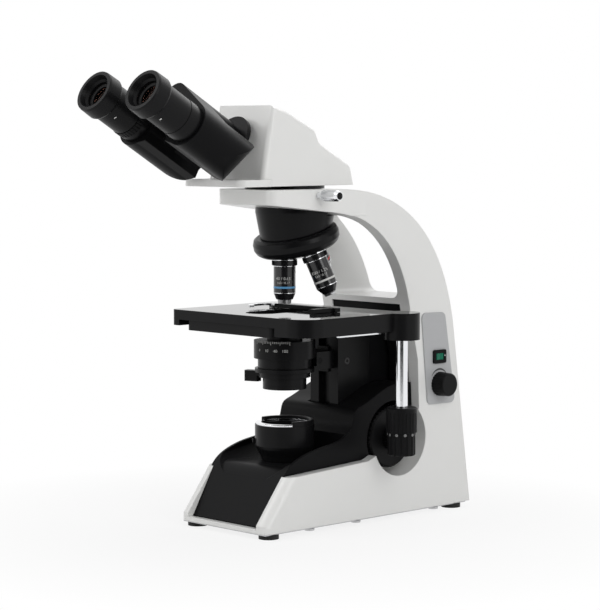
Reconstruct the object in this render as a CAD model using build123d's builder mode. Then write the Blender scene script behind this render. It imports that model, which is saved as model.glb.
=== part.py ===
"""Upright binocular laboratory microscope, built piece by piece.

Millimetres, +Z up, the user sits at -Y and the arm stands at +Y. Sizes are taken from the optical
axis, which is upright through the light port, the condenser and the working objective. The part's
origin is under the middle of its overall box, on the table.
"""
import os
from math import cos, radians, sin, tan

from build123d import *

os.makedirs("parts", exist_ok=True)

# Clearances
GAP = 0.3          # between pieces that move past each other or are dropped in
RUN = 0.05         # radial clearance of a shaft in its bearing
SEAT = 0.02        # radial clearance of a piece pushed into its seat

# Stand: base and arm
BASE_HALF = 63.0       # half width of the base and of the arm's legs
BASE_FRONT = -86.0
BASE_REAR = 209.5
FOOT_H = 6.0
FOOT_R = 10.0
FOOT_INSET_X = 11.0
FOOT_INSET_FRONT = 15.0
FOOT_INSET_REAR = 17.0
LIP_H = 8.0
SILL_H = 4.5           # low lip in front of the black panel
BASE_CORNER_R = 10.0   # front corners of the base
LIP_T = 6.0
CHEEK_T = 13.0         # side cheeks of the base, as thick as the legs
CHEEK_FRONT_Y = -52.0
CHEEK_FRONT_Z = 58.0
CHEEK_REAR_Y = 57.0
CHEEK_REAR_Z = 63.5
COLUMN_Z = 161.0       # height where the legs' front edge is measured
COLUMN_Y = 129.0
LEG_TOP_Y = 183.5      # rear edge, where the straight leg turns into the arch
LEG_TOP_Z = 188.0
ARCH_Y = 162.0         # corner that the outer arch rounds off
ARM_STRAIGHT_Y = 16.0
ARM_UNDER_Y = 22.5
ARM_UNDER_Z = 314.0
INNER_LEG_Y = 118.0
INNER_LEG_Z = 208.0
INNER_ARCH_Y = 104.0   # corner that the inner arch rounds off
INNER_ARCH_Z = 300.0
ARCH_PULL = 0.65
SHELL = 5.0            # casting walls
ARM_TOP = 338.0
ARM_FRONT = -56.0
ARM_FRONT_HALF = 40.0
ARM_FLARE_Y = 55.0
ARM_NOSE_T = 15.0
ARM_CORNER_R = 12.0
WINDOW_BOTTOM = 224.0
WINDOW_TOP = 311.0
WINDOW_R = 10.0
SILL_T = 6.0
PLATE_T = 1.6          # bottom plate
SCREW_R = 3.0
SCREW_HEAD_R = 5.0
SCREW_HEAD_H = 2.0

# Black covers
COVER_HALF = BASE_HALF - 10    # the cheeks show a ledge beside the cover
COVER_WALL = 3.0
COVER_SKIN = 4.0
DECK_Z = 64.0          # floor of the valley round the light port
SHELF_Y = 38.0
SHELF_Z = 118.0
SHELF_REAR_Z = 135.0

# Light port and lamp
PORT_R = 30.0
PORT_FOOT_R = 23.0
PORT_BOWL_Z = 80.0
PORT_TOP = 101.0
PORT_RING_T = 2.0
FILTER_R = 22.5        # seat for a 45 mm filter
FILTER_DEPTH = 5.0
LENS_R = 19.0
LAMP_R = 20.0
LAMP_H = 36.0

# Focus drive
FOCUS_Y = 103.0
FOCUS_Z = 82.0
POCKET_R = 38.0
POCKET_X = 27.0
COARSE_R = 31.0
COARSE_FACE = 50.0
COARSE_T = 20.0
COARSE_SHAFT_R = 8.0
FINE_R = 13.0
FINE_LENGTH = 18.0
FINE_SHAFT_R = 4.0
BUSH_R = 11.0
PINION_R = 10.0
TUNNEL_HALF = 22.0     # passage of the focus carriage in the column

# Carriage and stage
RAIL_HALF = 14.0
RAIL_T = 8.0
RAIL_BOTTOM = 50.0
RAIL_TOP = 208.0
CARRIAGE_HALF = 20.0
CARRIAGE_BOTTOM = 128.0
CARRIAGE_FRONT = 56.0
STAGE_TOP = 215.0
STAGE_T = 10.0
STAGE_HALF = 97.5
STAGE_FRONT = -66.0
STAGE_REAR = 78.0
STAGE_CORNER_R = 25.0
SKIRT_DEPTH = 18.0
SKIRT_T = 12.0
LUG_DEPTH = 16.0
LOWER_T = 10.0
LOWER_LEFT = -78.0
LOWER_RIGHT = 50.0
APERTURE_HALF = 17.0
APERTURE_TRAVEL = 60.0
DRIVE_X = 94.0
DRIVE_Y = 72.0
DRIVE_BOSS_R = 18.0
DRIVE_BOSS_DROP = 27.0
DRIVE_TUBE_R = 6.0
DRIVE_SHAFT_R = 3.0
Y_KNOB_TOP = 120.0
Y_KNOB_H = 25.0
Y_KNOB_R = 15.5
X_KNOB_H = 23.0
X_KNOB_R = 14.0
KNOB_RIBS = 24
X_KNOB_RIBS = 14
HOLDER_H = 4.0
HOLDER_T = 7.0
HOLDER_LENGTH = 96.0
HOLDER_Y = 22.0
FINGER_PIVOT_X = -40.0
FINGER_T = 2.4
SLIDE_W = 26.0

# Condenser
COND_R = 31.0
COND_TOP = 188.0
COND_SCALE_H = 20.0
COND_MID_R = 27.0
COND_MID_Z = 158.0
COND_LOW_R = 22.0
COND_LOW_Z = 137.0
COND_LENS_R = 14.0
COND_LENS_TOP = 203.0
MOUNT_R = 30.0
MOUNT_HALF = 14.0
MOUNT_BOTTOM = 154.0
MOUNT_TOP = 172.0
TONGUE_HALF = 8.0
TONGUE_T = 6.0
IRIS_T = 5.0
IRIS_R = 26.0
LEVER_ANGLE = 200.0
LEVER_REACH = 44.0
LEVER_W = 9.0
LEVER_H = 11.0
COND_KNOB_R = 9.0
COND_KNOB_L = 12.0
COND_KNOB_Y = 36.0
COND_KNOB_Z = 163.0
COND_SHAFT_R = 3.0

# Nosepiece
NOSE_TILT = 16.0
THREAD_CIRCLE = 21.0
TURRET_R = 44.0
TURRET_T = 19.0
SHOULDER_Z = 267.0     # seat of the working objective
PARFOCAL = 45.0
OBJ_GRIP_R = 12.5
OBJ_BARREL_R = 11.0
OBJ_GRIP_H = 6.0

# Head and eye tubes
SEAT_R = 40.0
FLANGE_T = 3.0
HEAD_HALF = 40.0
HEAD_FRONT = -68.0
HEAD_TOP_FRONT = -53.0
HEAD_TOP = 420.0
HEAD_TOP_REAR = -33.0
HEAD_TOP_REAR_Z = 414.5
HEAD_SHOULDER_Y = 5.0
HEAD_SHOULDER_Z = 397.0
HEAD_DIP_Y = 11.5
HEAD_DIP_Z = 384.0
HEAD_TAIL_Y = 55.0
HEAD_TAIL_Z = 361.0
HEAD_REAR = 60.0
HEAD_EDGE_R = 5.0
CHIN_FRONT = -98.0
CHIN_HALF = 44.0
CHIN_T = 7.0
EYE_TILT = 30.0
EYE_HALF = 35.5        # half the eye distance as shown
PIVOT_RISE = 32.0      # the tubes swing about a pivot this far above them
CUP_LIP_R = 21.0       # rim of the eyecup
CUP_R = 21.5
CUP_BACK_R = 21.9
CUP_FRONT_Y = -214.0
CUP_FRONT_Z = 433.0
CUP_LENGTH = 17.0
EYEPIECE_R = 19.2
EYEPIECE_LENGTH = 47.0
BARREL_R = 15.0        # part of the eyepiece that is pushed into its tube
EYE_LENS_R = 11.0
RING_R = 19.9
RING_H = 7.0
TUBE_R = 19.5
HOUSING_FACE = 62.0    # distance from the eyecup's rim to the prism housing
HOUSING_L = 73.0
LOBE_R = 23.0
EAR_R = 13.0
KEEL_X = 14.0          # inner edge of a housing's underside
KEEL_DEPTH = 18.0
STERN_R = 38.0         # round-off of a housing's outer lower side at its rear
STERN_L = 33.0
STERN_TURN = 34.0      # how far below level the round-off faces
HINGE_DISC_R = 23.3
HINGE_DISC_T = 5.0
HINGE_DISC_GAP = 8.0   # between the housings and the hinge disc
PIVOT_R = 5.0

# Controls on the right side
PANEL_T = 1.6
PANEL_CORNERS = [(133.0, 209.0), (168.0, 208.0), (184.5, 113.0), (142.5, 113.5)]
PANEL_R = 6.0
SWITCH_Y = 159.0
SWITCH_Z = 162.5
SWITCH_W = 15.0
SWITCH_H = 10.0
DIMMER_Y = 160.0
DIMMER_Z = 134.0
DIMMER_R = 12.5
DIMMER_L = 15.0
DIMMER_SHAFT_R = 3.0

# The optical axis in the part's frame: the overall box is centred on the origin
RIGHT_REACH = DRIVE_X + DRIVE_BOSS_R
EYE_DIR = Vector(0, -cos(radians(EYE_TILT)), sin(radians(EYE_TILT)))
FRONT_REACH = -CUP_FRONT_Y + CUP_LIP_R * sin(radians(EYE_TILT))
AXIS_X = (STAGE_HALF - RIGHT_REACH) / 2
AXIS_Y = (FRONT_REACH - BASE_REAR) / 2


def spot(x, y, z):
    """A point given from the optical axis and the table."""
    return Vector(AXIS_X + x, AXIS_Y + y, z)


def level(z):
    """A horizontal plane through the optical axis at height z."""
    return Plane(spot(0, 0, z))


def upright(x):
    """A plane facing +X at x; its own axes are Y and Z."""
    return Plane(spot(x, 0, 0), x_dir=(0, 1, 0), z_dir=(1, 0, 0))


def facing(y):
    """A plane facing -Y at y; its own axes are X and Z."""
    return Plane(spot(0, y, 0), x_dir=(1, 0, 0), z_dir=(0, -1, 0))


def turning(origin, direction, side=(1, 0, 0)):
    """A plane through a turning axis: radius along its x, distance along the axis along its y."""
    side = Vector(*side)
    return Plane(origin, x_dir=side, z_dir=side.cross(direction))


def turn(plane, *points, mode=Mode.ADD):
    """Turn a (radius, height) section about the plane's upright axis."""
    with BuildSketch(plane) as section:
        Polygon(*points, align=None)
    revolve(section.sketch, axis=Axis(plane.origin, plane.y_dir), mode=mode)


def ribs(plane, radius, bottom, top, count, groove):
    """Cut round grip grooves along the axis of a knob."""
    foot = Plane(plane.origin + plane.y_dir * bottom, x_dir=plane.x_dir, z_dir=plane.y_dir)
    with BuildSketch(foot) as grooves:
        with PolarLocations(radius, count):
            Circle(groove)
    extrude(grooves.sketch, amount=top - bottom, mode=Mode.SUBTRACT)


def lens(plane, radius, bottom, rim, sag):
    """A flat-backed lens with a domed front, turned about the plane's upright axis."""
    ball = (radius**2 + sag**2) / (2 * sag)
    middle = radius / 2
    middle_height = rim + sag - ball + (ball**2 - middle**2) ** 0.5
    with BuildSketch(plane) as section:
        with BuildLine() as edge:
            Polyline((0, rim + sag), (0, bottom), (radius, bottom), (radius, rim))
            ThreePointArc((radius, rim), (middle, middle_height), (0, rim + sag))
        make_face(edge.edges())
    revolve(section.sketch, axis=Axis(plane.origin, plane.y_dir))


def bend(start, corner, end):
    """A smooth curve from start to end that rounds off a corner."""
    start, corner, end = Vector(*start), Vector(*corner), Vector(*end)
    Bezier(start, start + (corner - start) * ARCH_PULL, end + (corner - end) * ARCH_PULL, end)


def slab(x0, x1, y0, y1, z0, z1, mode=Mode.ADD):
    """A straight block between two corners, given from the optical axis."""
    with BuildSketch(level(z0)) as footprint:
        with Locations(((x0 + x1) / 2, (y0 + y1) / 2)):
            Rectangle(x1 - x0, y1 - y0)
    extrude(footprint.sketch, amount=z1 - z0, mode=mode)


def across(x0, x1, *points, mode=Mode.ADD):
    """A (Y, Z) outline extruded from x0 to x1."""
    with BuildSketch(upright(x0)) as profile:
        Polygon(*points, align=None)
    extrude(profile.sketch, amount=x1 - x0, mode=mode)


def keep(builder, name):
    """Label a finished piece and write it."""
    builder.part.label = name
    export_step(builder.part, f"parts/{name}.step")


UP = Vector(0, 0, 1)
RIGHT = Vector(1, 0, 0)
OPTICAL = turning(spot(0, 0, 0), UP)


# Stand casting: base, two legs and the arm in one piece
CHEEK_IN = BASE_HALF - CHEEK_T
LEG_IN = CHEEK_IN - 1
COLUMN_IN = LEG_IN - SHELL
COLUMN_BACK = COLUMN_Y + RAIL_T + 15
COLUMN_TOP = WINDOW_BOTTOM - SILL_T
COLUMN_FOOT = FOCUS_Z + POCKET_R * 0.75
POCKET_EDGE_Y = COLUMN_Y + 2
REAR_ROOM_Y = COLUMN_BACK + 8
REAR_ROOM_TOP = 120.0
REAR_WALL = 10.0
DIMMER_BODY_R = DIMMER_R - 3
SEAT_RING_R = SEAT_R - 4
SEAT_DEPTH = 12.0
PLUG_R = SEAT_RING_R - 6
LIGHT_R = 14.0
CLAMP_Y = -2.0
CLAMP_Z = ARM_TOP - 6
CLAMP_R = 3.0
SCREW_LENGTH = 14.0
SCREW_SPOTS = [(side * (BASE_HALF - CHEEK_T / 2), y) for side in (-1, 1) for y in (-20.0, 45.0, 160.0)]
INLET_Z = 60.0
INLET_HALF_W = 14.0
INLET_HALF_H = 10.0

REAR_LEAN = (BASE_REAR - LEG_TOP_Y) / (LEG_TOP_Z - FOOT_H)


def rear_face(z):
    """How far back the leaning rear of the casting is at a height."""
    return BASE_REAR - REAR_LEAN * (z - FOOT_H)


with BuildPart() as stand_casting:
    with BuildSketch(upright(-BASE_HALF)):
        with BuildLine():
            Polyline(
                (CHEEK_FRONT_Y, CHEEK_FRONT_Z),
                (BASE_FRONT, FOOT_H + LIP_H),
                (BASE_FRONT, FOOT_H),
                (BASE_REAR, FOOT_H),
                (LEG_TOP_Y, LEG_TOP_Z),
            )
            bend((LEG_TOP_Y, LEG_TOP_Z), (ARCH_Y, ARM_TOP), (ARM_STRAIGHT_Y, ARM_TOP))
            Polyline(
                (ARM_STRAIGHT_Y, ARM_TOP),
                (ARM_FRONT, ARM_TOP),
                (ARM_FRONT, ARM_TOP - ARM_NOSE_T),
                (ARM_UNDER_Y, ARM_UNDER_Z),
            )
            bend((ARM_UNDER_Y, ARM_UNDER_Z), (INNER_ARCH_Y, INNER_ARCH_Z), (INNER_LEG_Y, INNER_LEG_Z))
            Polyline(
                (INNER_LEG_Y, INNER_LEG_Z),
                (COLUMN_Y, COLUMN_Z),
                (POCKET_EDGE_Y, COLUMN_FOOT),
                (FOCUS_Y, FOCUS_Z),
                (CHEEK_REAR_Y, CHEEK_REAR_Z),
                (CHEEK_FRONT_Y, CHEEK_FRONT_Z),
            )
        make_face()
    extrude(amount=2 * BASE_HALF)
    front_edges = stand_casting.edges().filter_by(lambda e: e.center().Y < AXIS_Y + CHEEK_FRONT_Y)
    fillet(front_edges.filter_by(lambda e: abs(e.tangent_at(0.5).Z) > 0.5), BASE_CORNER_R)
    # The arm narrows towards the head seat
    with BuildSketch(level(WINDOW_TOP)):
        with Locations((0, ARM_FRONT)):
            Rectangle(3 * BASE_HALF, 3 * (ARM_FLARE_Y - ARM_FRONT))
        with BuildLine():
            FilletPolyline(
                (BASE_HALF, 3 * ARM_FLARE_Y),
                (BASE_HALF, ARM_FLARE_Y),
                (ARM_FRONT_HALF, ARM_FRONT),
                (-ARM_FRONT_HALF, ARM_FRONT),
                (-BASE_HALF, ARM_FLARE_Y),
                (-BASE_HALF, 3 * ARM_FLARE_Y),
                close=True,
                radius=ARM_CORNER_R,
            )
        make_face(mode=Mode.SUBTRACT)
    extrude(amount=ARM_TOP, mode=Mode.SUBTRACT)
    # Open front of the base, under the black cover
    slab(-CHEEK_IN, CHEEK_IN, BASE_FRONT + LIP_T, CHEEK_REAR_Y, 0, ARM_UNDER_Z / 2, mode=Mode.SUBTRACT)
    slab(-CHEEK_IN, CHEEK_IN, 2 * BASE_FRONT, 0, FOOT_H + SILL_H, ARM_UNDER_Z / 2, mode=Mode.SUBTRACT)
    # Passage of the focus carriage, the hollow column and the rear room
    slab(-TUNNEL_HALF, TUNNEL_HALF, CHEEK_REAR_Y - 1, COLUMN_BACK, 0, COLUMN_TOP, mode=Mode.SUBTRACT)
    slab(-COLUMN_IN, COLUMN_IN, SHELF_Y, COLUMN_BACK, COLUMN_FOOT, COLUMN_TOP, mode=Mode.SUBTRACT)
    across(
        -COLUMN_IN,
        COLUMN_IN,
        (REAR_ROOM_Y, 0),
        (rear_face(0) - REAR_WALL, 0),
        (rear_face(REAR_ROOM_TOP) - REAR_WALL, REAR_ROOM_TOP),
        (REAR_ROOM_Y, REAR_ROOM_TOP),
        mode=Mode.SUBTRACT,
    )
    # Seat of the column cover between the legs
    across(
        -LEG_IN,
        LEG_IN,
        (SHELF_Y, COLUMN_FOOT),
        (POCKET_EDGE_Y + SHELL, COLUMN_FOOT),
        (COLUMN_Y + SHELL, COLUMN_Z),
        (INNER_LEG_Y + SHELL, INNER_LEG_Z),
        (INNER_LEG_Y + SHELL - 2, COLUMN_TOP),
        (SHELF_Y, COLUMN_TOP),
        mode=Mode.SUBTRACT,
    )
    # Window through the arm
    with BuildSketch(facing(0)):
        with Locations((0, (WINDOW_BOTTOM + WINDOW_TOP) / 2)):
            RectangleRounded(2 * LEG_IN, WINDOW_TOP - WINDOW_BOTTOM, WINDOW_R)
    extrude(amount=-2 * BASE_REAR, mode=Mode.SUBTRACT)
    # Bearing walls of the focus shaft, then the pockets of the focus knobs on both sides
    for side in (-1, 1):
        with BuildSketch(upright(side * TUNNEL_HALF)):
            with Locations((FOCUS_Y + SHELL, FOCUS_Z)):
                Rectangle(POCKET_R, POCKET_R)
        extrude(amount=side * (POCKET_X - TUNNEL_HALF))
        with BuildSketch(upright(side * POCKET_X)):
            with Locations((FOCUS_Y, FOCUS_Z)):
                Circle(POCKET_R)
        extrude(amount=side * BASE_HALF, mode=Mode.SUBTRACT)
    with BuildSketch(upright(-POCKET_X)):
        with Locations((FOCUS_Y, FOCUS_Z)):
            Circle(BUSH_R + SEAT)
    extrude(amount=2 * POCKET_X, mode=Mode.SUBTRACT)
    # Head seat, light path and clamp screw hole in the arm
    turn(
        OPTICAL,
        (0, WINDOW_TOP - SHELL),
        (LIGHT_R, WINDOW_TOP - SHELL),
        (LIGHT_R, ARM_TOP - SEAT_DEPTH),
        (SEAT_RING_R + SEAT, ARM_TOP - SEAT_DEPTH),
        (SEAT_RING_R + SEAT, ARM_TOP + SHELL),
        (0, ARM_TOP + SHELL),
        mode=Mode.SUBTRACT,
    )
    turn(
        turning(spot(PLUG_R, CLAMP_Y, CLAMP_Z), RIGHT, side=(0, 1, 0)),
        (0, 0),
        (CLAMP_R + RUN, 0),
        (CLAMP_R + RUN, BASE_HALF),
        (0, BASE_HALF),
        mode=Mode.SUBTRACT,
    )
    # Openings for the switch, the brightness control and the mains inlet
    slab(
        COLUMN_IN - 1,
        BASE_HALF + 1,
        SWITCH_Y - SWITCH_W / 2 - GAP,
        SWITCH_Y + SWITCH_W / 2 + GAP,
        SWITCH_Z - SWITCH_H / 2 - GAP,
        SWITCH_Z + SWITCH_H / 2 + GAP,
        mode=Mode.SUBTRACT,
    )
    with BuildSketch(upright(COLUMN_IN - 1)):
        with Locations((DIMMER_Y, DIMMER_Z)):
            Circle(DIMMER_BODY_R + SEAT)
    extrude(amount=CHEEK_T + SHELL + 2, mode=Mode.SUBTRACT)
    slab(
        -INLET_HALF_W,
        INLET_HALF_W,
        REAR_ROOM_Y,
        BASE_REAR + 1,
        INLET_Z - INLET_HALF_H,
        INLET_Z + INLET_HALF_H,
        mode=Mode.SUBTRACT,
    )
    with BuildSketch(level(FOOT_H)):
        with Locations(*SCREW_SPOTS):
            Circle(SCREW_R + SEAT)
    extrude(amount=SCREW_LENGTH, mode=Mode.SUBTRACT)
keep(stand_casting, "stand_casting")


# Bottom plate, feet and screws
PLATE_MARGIN = 3.0
PLATE_BOTTOM = FOOT_H - PLATE_T
FOOT_SPOTS = [
    (side * (BASE_HALF - FOOT_INSET_X), y)
    for side in (-1, 1)
    for y in (BASE_FRONT + FOOT_INSET_FRONT, BASE_REAR - FOOT_INSET_REAR)
]

with BuildPart() as bottom_plate:
    slab(
        PLATE_MARGIN - BASE_HALF,
        BASE_HALF - PLATE_MARGIN,
        BASE_FRONT + PLATE_MARGIN,
        BASE_REAR - PLATE_MARGIN,
        PLATE_BOTTOM,
        FOOT_H,
    )
    with BuildSketch(level(PLATE_BOTTOM)):
        with Locations(*SCREW_SPOTS):
            Circle(SCREW_R + SEAT)
    extrude(amount=PLATE_T, mode=Mode.SUBTRACT)
keep(bottom_plate, "bottom_plate")

with BuildPart() as feet:
    with BuildSketch(level(0)):
        with Locations(*FOOT_SPOTS):
            Circle(FOOT_R)
    extrude(amount=PLATE_BOTTOM)
keep(feet, "feet")

with BuildPart() as plate_screws:
    with BuildSketch(level(PLATE_BOTTOM - SCREW_HEAD_H)):
        with Locations(*SCREW_SPOTS):
            Circle(SCREW_HEAD_R)
    extrude(amount=SCREW_HEAD_H)
    with BuildSketch(level(PLATE_BOTTOM)):
        with Locations(*SCREW_SPOTS):
            Circle(SCREW_R)
    extrude(amount=SCREW_LENGTH)
keep(plate_screws, "plate_screws")

# Black cover of the base: front slope, valley of the light port, shelf towards the column
COVER_LOW_HALF = CHEEK_IN - GAP
VALLEY_HALF = COVER_HALF - COVER_WALL
VALLEY_FLAT = 34.0
SLOT_HALF = CARRIAGE_HALF + 1.5
# Side view of the cover's two ridges and of the front panel that runs up into the valley
RIDGE = [
    (CHEEK_FRONT_Y, CHEEK_FRONT_Z + GAP),
    (-40.0, 69.5),
    (-28.0, 75.0),
    (-12.0, 79.7),
    (5.0, 82.5),
    (26.0, 86.5),
    (SHELF_Y, SHELF_Z - 25),
    (SHELF_Y + 5.5, SHELF_Z - 17),
    (SHELF_Y + 10, SHELF_Z - 4),
    (SHELF_Y + 20, SHELF_Z + 1),
    (SHELF_Y + 58, SHELF_REAR_Z),
    (COLUMN_Y, SHELF_REAR_Z + 2),
]
BONNET = [(-63.0, 42.0), (-53.0, 55.5), (-45.5, 61.5), (-36.0, DECK_Z)]
PANEL_FOOT_Y = BASE_FRONT + LIP_T + GAP    # the front panel is set back behind the lip
PANEL_FOOT_Z = FOOT_H + SILL_H + GAP
PANEL_LAP = 6.0        # height in which the front panel and the ridges run into each other

# Valley with the flat seat of the light port; a slanted round hollow gives it sloping sides
VALLEY_DISH_R = 72.0
VALLEY_DISH = [(-35.0, DECK_Z - 13), (25.0, DECK_Z - 3.5)]
DISH_AXIS = spot(0, *VALLEY_DISH[1]) - spot(0, *VALLEY_DISH[0])

with BuildPart() as valley:
    with BuildSketch(upright(-VALLEY_HALF)):
        with BuildLine():
            Spline(*BONNET, tangents=((1, 1.8), (1, 0)))
            Polyline(
                BONNET[-1],
                (SHELF_Y - 4, DECK_Z),
                (SHELF_Y - 1, SHELF_Z - 16),
                (SHELF_Y + 4, SHELF_REAR_Z),
                (BONNET[0][0], SHELF_REAR_Z),
                BONNET[0],
            )
        make_face()
    extrude(amount=2 * VALLEY_HALF)
    turn(
        turning(spot(0, VALLEY_DISH[0][0], VALLEY_DISH[0][1] + VALLEY_DISH_R), DISH_AXIS.normalized()),
        (0, -BASE_REAR),
        (VALLEY_DISH_R, -BASE_REAR),
        (VALLEY_DISH_R, BASE_REAR),
        (0, BASE_REAR),
        mode=Mode.INTERSECT,
    )

with BuildPart() as base_cover:
    across(
        -COVER_LOW_HALF,
        COVER_LOW_HALF,
        (PANEL_FOOT_Y, PANEL_FOOT_Z),
        (CHEEK_FRONT_Y, CHEEK_FRONT_Z + GAP),
        (CHEEK_FRONT_Y + PANEL_LAP, CHEEK_FRONT_Z + PANEL_LAP),
        (CHEEK_REAR_Y - GAP, CHEEK_REAR_Z + PANEL_LAP),
        (CHEEK_REAR_Y - GAP, PANEL_FOOT_Z),
    )
    with BuildSketch(upright(-COVER_HALF)):
        with BuildLine():
            Spline(*RIDGE)
            Polyline(
                RIDGE[-1],
                (POCKET_EDGE_Y - GAP, COLUMN_FOOT),
                (FOCUS_Y, FOCUS_Z),
                (CHEEK_REAR_Y, CHEEK_REAR_Z + GAP),
                RIDGE[0],
            )
        make_face()
    extrude(amount=2 * COVER_HALF)
    add(valley.part, mode=Mode.SUBTRACT)
    # Hollow underside
    across(
        COVER_SKIN - COVER_LOW_HALF,
        COVER_LOW_HALF - COVER_SKIN,
        (PANEL_FOOT_Y + COVER_SKIN, 0),
        (PANEL_FOOT_Y + COVER_SKIN, PANEL_FOOT_Z),
        (CHEEK_FRONT_Y + COVER_SKIN, CHEEK_FRONT_Z - 2 * COVER_SKIN),
        (-VALLEY_FLAT, DECK_Z - COVER_SKIN),
        (SHELF_Y, DECK_Z - COVER_SKIN),
        (SHELF_Y + COVER_SKIN, SHELF_Z - COVER_SKIN - 25),
        (SHELF_Y + 12 + COVER_SKIN, SHELF_Z - COVER_SKIN),
        (COLUMN_Y + COVER_SKIN, SHELF_REAR_Z - COVER_SKIN),
        (COLUMN_Y + COVER_SKIN, 0),
        mode=Mode.SUBTRACT,
    )
    # Room for the focus knobs and the slot of the carriage
    for side in (-1, 1):
        with BuildSketch(upright(side * (POCKET_X - GAP))):
            with Locations((FOCUS_Y, FOCUS_Z)):
                Circle(POCKET_R + GAP)
        extrude(amount=side * BASE_HALF, mode=Mode.SUBTRACT)
    slab(
        -SLOT_HALF, SLOT_HALF, CARRIAGE_FRONT - 3, COLUMN_BACK, FOCUS_Z, COLUMN_TOP, mode=Mode.SUBTRACT
    )
    # Light passage under the port
    turn(OPTICAL, (0, 0), (LENS_R - 3, 0), (LENS_R - 3, PORT_TOP), (0, PORT_TOP), mode=Mode.SUBTRACT)
keep(base_cover, "base_cover")

# Column cover between the legs, slotted for the carriage
with BuildPart() as column_cover:
    across(
        GAP - LEG_IN,
        LEG_IN - GAP,
        (COLUMN_Y + 1, SHELF_REAR_Z + 3),
        (COLUMN_Y + SHELL, SHELF_REAR_Z + 3),
        (COLUMN_Y + SHELL, COLUMN_Z),
        (INNER_LEG_Y + SHELL, INNER_LEG_Z),
        (INNER_LEG_Y + SHELL - 2, COLUMN_TOP - GAP),
        (INNER_LEG_Y - 1, COLUMN_TOP - GAP),
        (INNER_LEG_Y + 1, INNER_LEG_Z),
        (COLUMN_Y + 1, COLUMN_Z),
    )
    slab(-SLOT_HALF, SLOT_HALF, SHELF_Y, COLUMN_BACK, 0, INNER_LEG_Z - 6, mode=Mode.SUBTRACT)
keep(column_cover, "column_cover")

# Light port: bowl-shaped tube with a filter seat, bright rim ring and field lens
LENS_SEAT_Z = PORT_TOP - FILTER_DEPTH - 8

with BuildPart() as light_port:
    turn(
        OPTICAL,
        (LENS_R - 3, DECK_Z),
        (PORT_FOOT_R, DECK_Z),
        (PORT_FOOT_R + 2, DECK_Z + 6),
        (PORT_R - 1, PORT_BOWL_Z - 3),
        (PORT_R, PORT_BOWL_Z),
        (PORT_R, PORT_TOP),
        (FILTER_R, PORT_TOP),
        (FILTER_R, PORT_TOP - FILTER_DEPTH),
        (LENS_R, PORT_TOP - FILTER_DEPTH),
        (LENS_R, LENS_SEAT_Z),
        (LENS_R - 3, LENS_SEAT_Z),
    )
keep(light_port, "light_port")

with BuildPart() as port_ring:
    turn(
        OPTICAL,
        (FILTER_R + 1, PORT_TOP),
        (PORT_R - 1, PORT_TOP),
        (PORT_R - 1, PORT_TOP + PORT_RING_T - 0.5),
        (PORT_R - 1.5, PORT_TOP + PORT_RING_T),
        (FILTER_R + 1, PORT_TOP + PORT_RING_T),
    )
keep(port_ring, "port_ring")

with BuildPart() as field_lens:
    lens(OPTICAL, LENS_R - SEAT, LENS_SEAT_Z, LENS_SEAT_Z + 4, 3.0)
keep(field_lens, "field_lens")

with BuildPart() as lamp_module:
    turn(
        OPTICAL,
        (0, FOOT_H),
        (LAMP_R, FOOT_H),
        (LAMP_R, FOOT_H + LAMP_H - 10),
        (LAMP_R - 6, FOOT_H + LAMP_H - 6),
        (LAMP_R - 12, FOOT_H + LAMP_H - 6),
        (LAMP_R - 14, FOOT_H + LAMP_H),
        (0, FOOT_H + LAMP_H),
    )
    ribs(OPTICAL, LAMP_R, FOOT_H + 4, FOOT_H + LAMP_H - 10, KNOB_RIBS, 1.6)
keep(lamp_module, "lamp_module")

# Controls on the right side: panel, switch, brightness knob; mains inlet at the rear
PANEL_X = BASE_HALF + PANEL_T
BEZEL_RIM = 2.0
ROCKER_MARGIN = 3.0
ROCKER_PIVOT_X = PANEL_X - 7

with BuildPart() as control_panel:
    with BuildSketch(upright(BASE_HALF)):
        with BuildLine():
            FilletPolyline(*PANEL_CORNERS, close=True, radius=PANEL_R)
        make_face()
        with Locations((SWITCH_Y, SWITCH_Z)):
            Rectangle(SWITCH_W + 2 * GAP, SWITCH_H + 2 * GAP, mode=Mode.SUBTRACT)
        with Locations((DIMMER_Y, DIMMER_Z)):
            Circle(DIMMER_SHAFT_R + GAP, mode=Mode.SUBTRACT)
    extrude(amount=PANEL_T)
keep(control_panel, "control_panel")

with BuildPart() as switch_bezel:
    with BuildSketch(upright(PANEL_X)):
        with Locations((SWITCH_Y, SWITCH_Z)):
            RectangleRounded(SWITCH_W + 2 * BEZEL_RIM, SWITCH_H + 2 * BEZEL_RIM, BEZEL_RIM)
    extrude(amount=BEZEL_RIM)
    with BuildSketch(upright(PANEL_X)):
        with Locations((SWITCH_Y, SWITCH_Z)):
            Rectangle(SWITCH_W, SWITCH_H)
    extrude(amount=-CHEEK_T)
    with BuildSketch(upright(PANEL_X - CHEEK_T + 2)):
        with Locations((SWITCH_Y, SWITCH_Z)):
            Rectangle(SWITCH_W - ROCKER_MARGIN, SWITCH_H - ROCKER_MARGIN)
    extrude(amount=CHEEK_T + BEZEL_RIM, mode=Mode.SUBTRACT)
    # Ears that carry the rocker's pivot
    with BuildSketch(level(SWITCH_Z)):
        with Locations((ROCKER_PIVOT_X, SWITCH_Y)):
            Circle(1.5 - RUN)
    extrude(amount=SWITCH_H / 2, both=True)
keep(switch_bezel, "switch_bezel")

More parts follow.
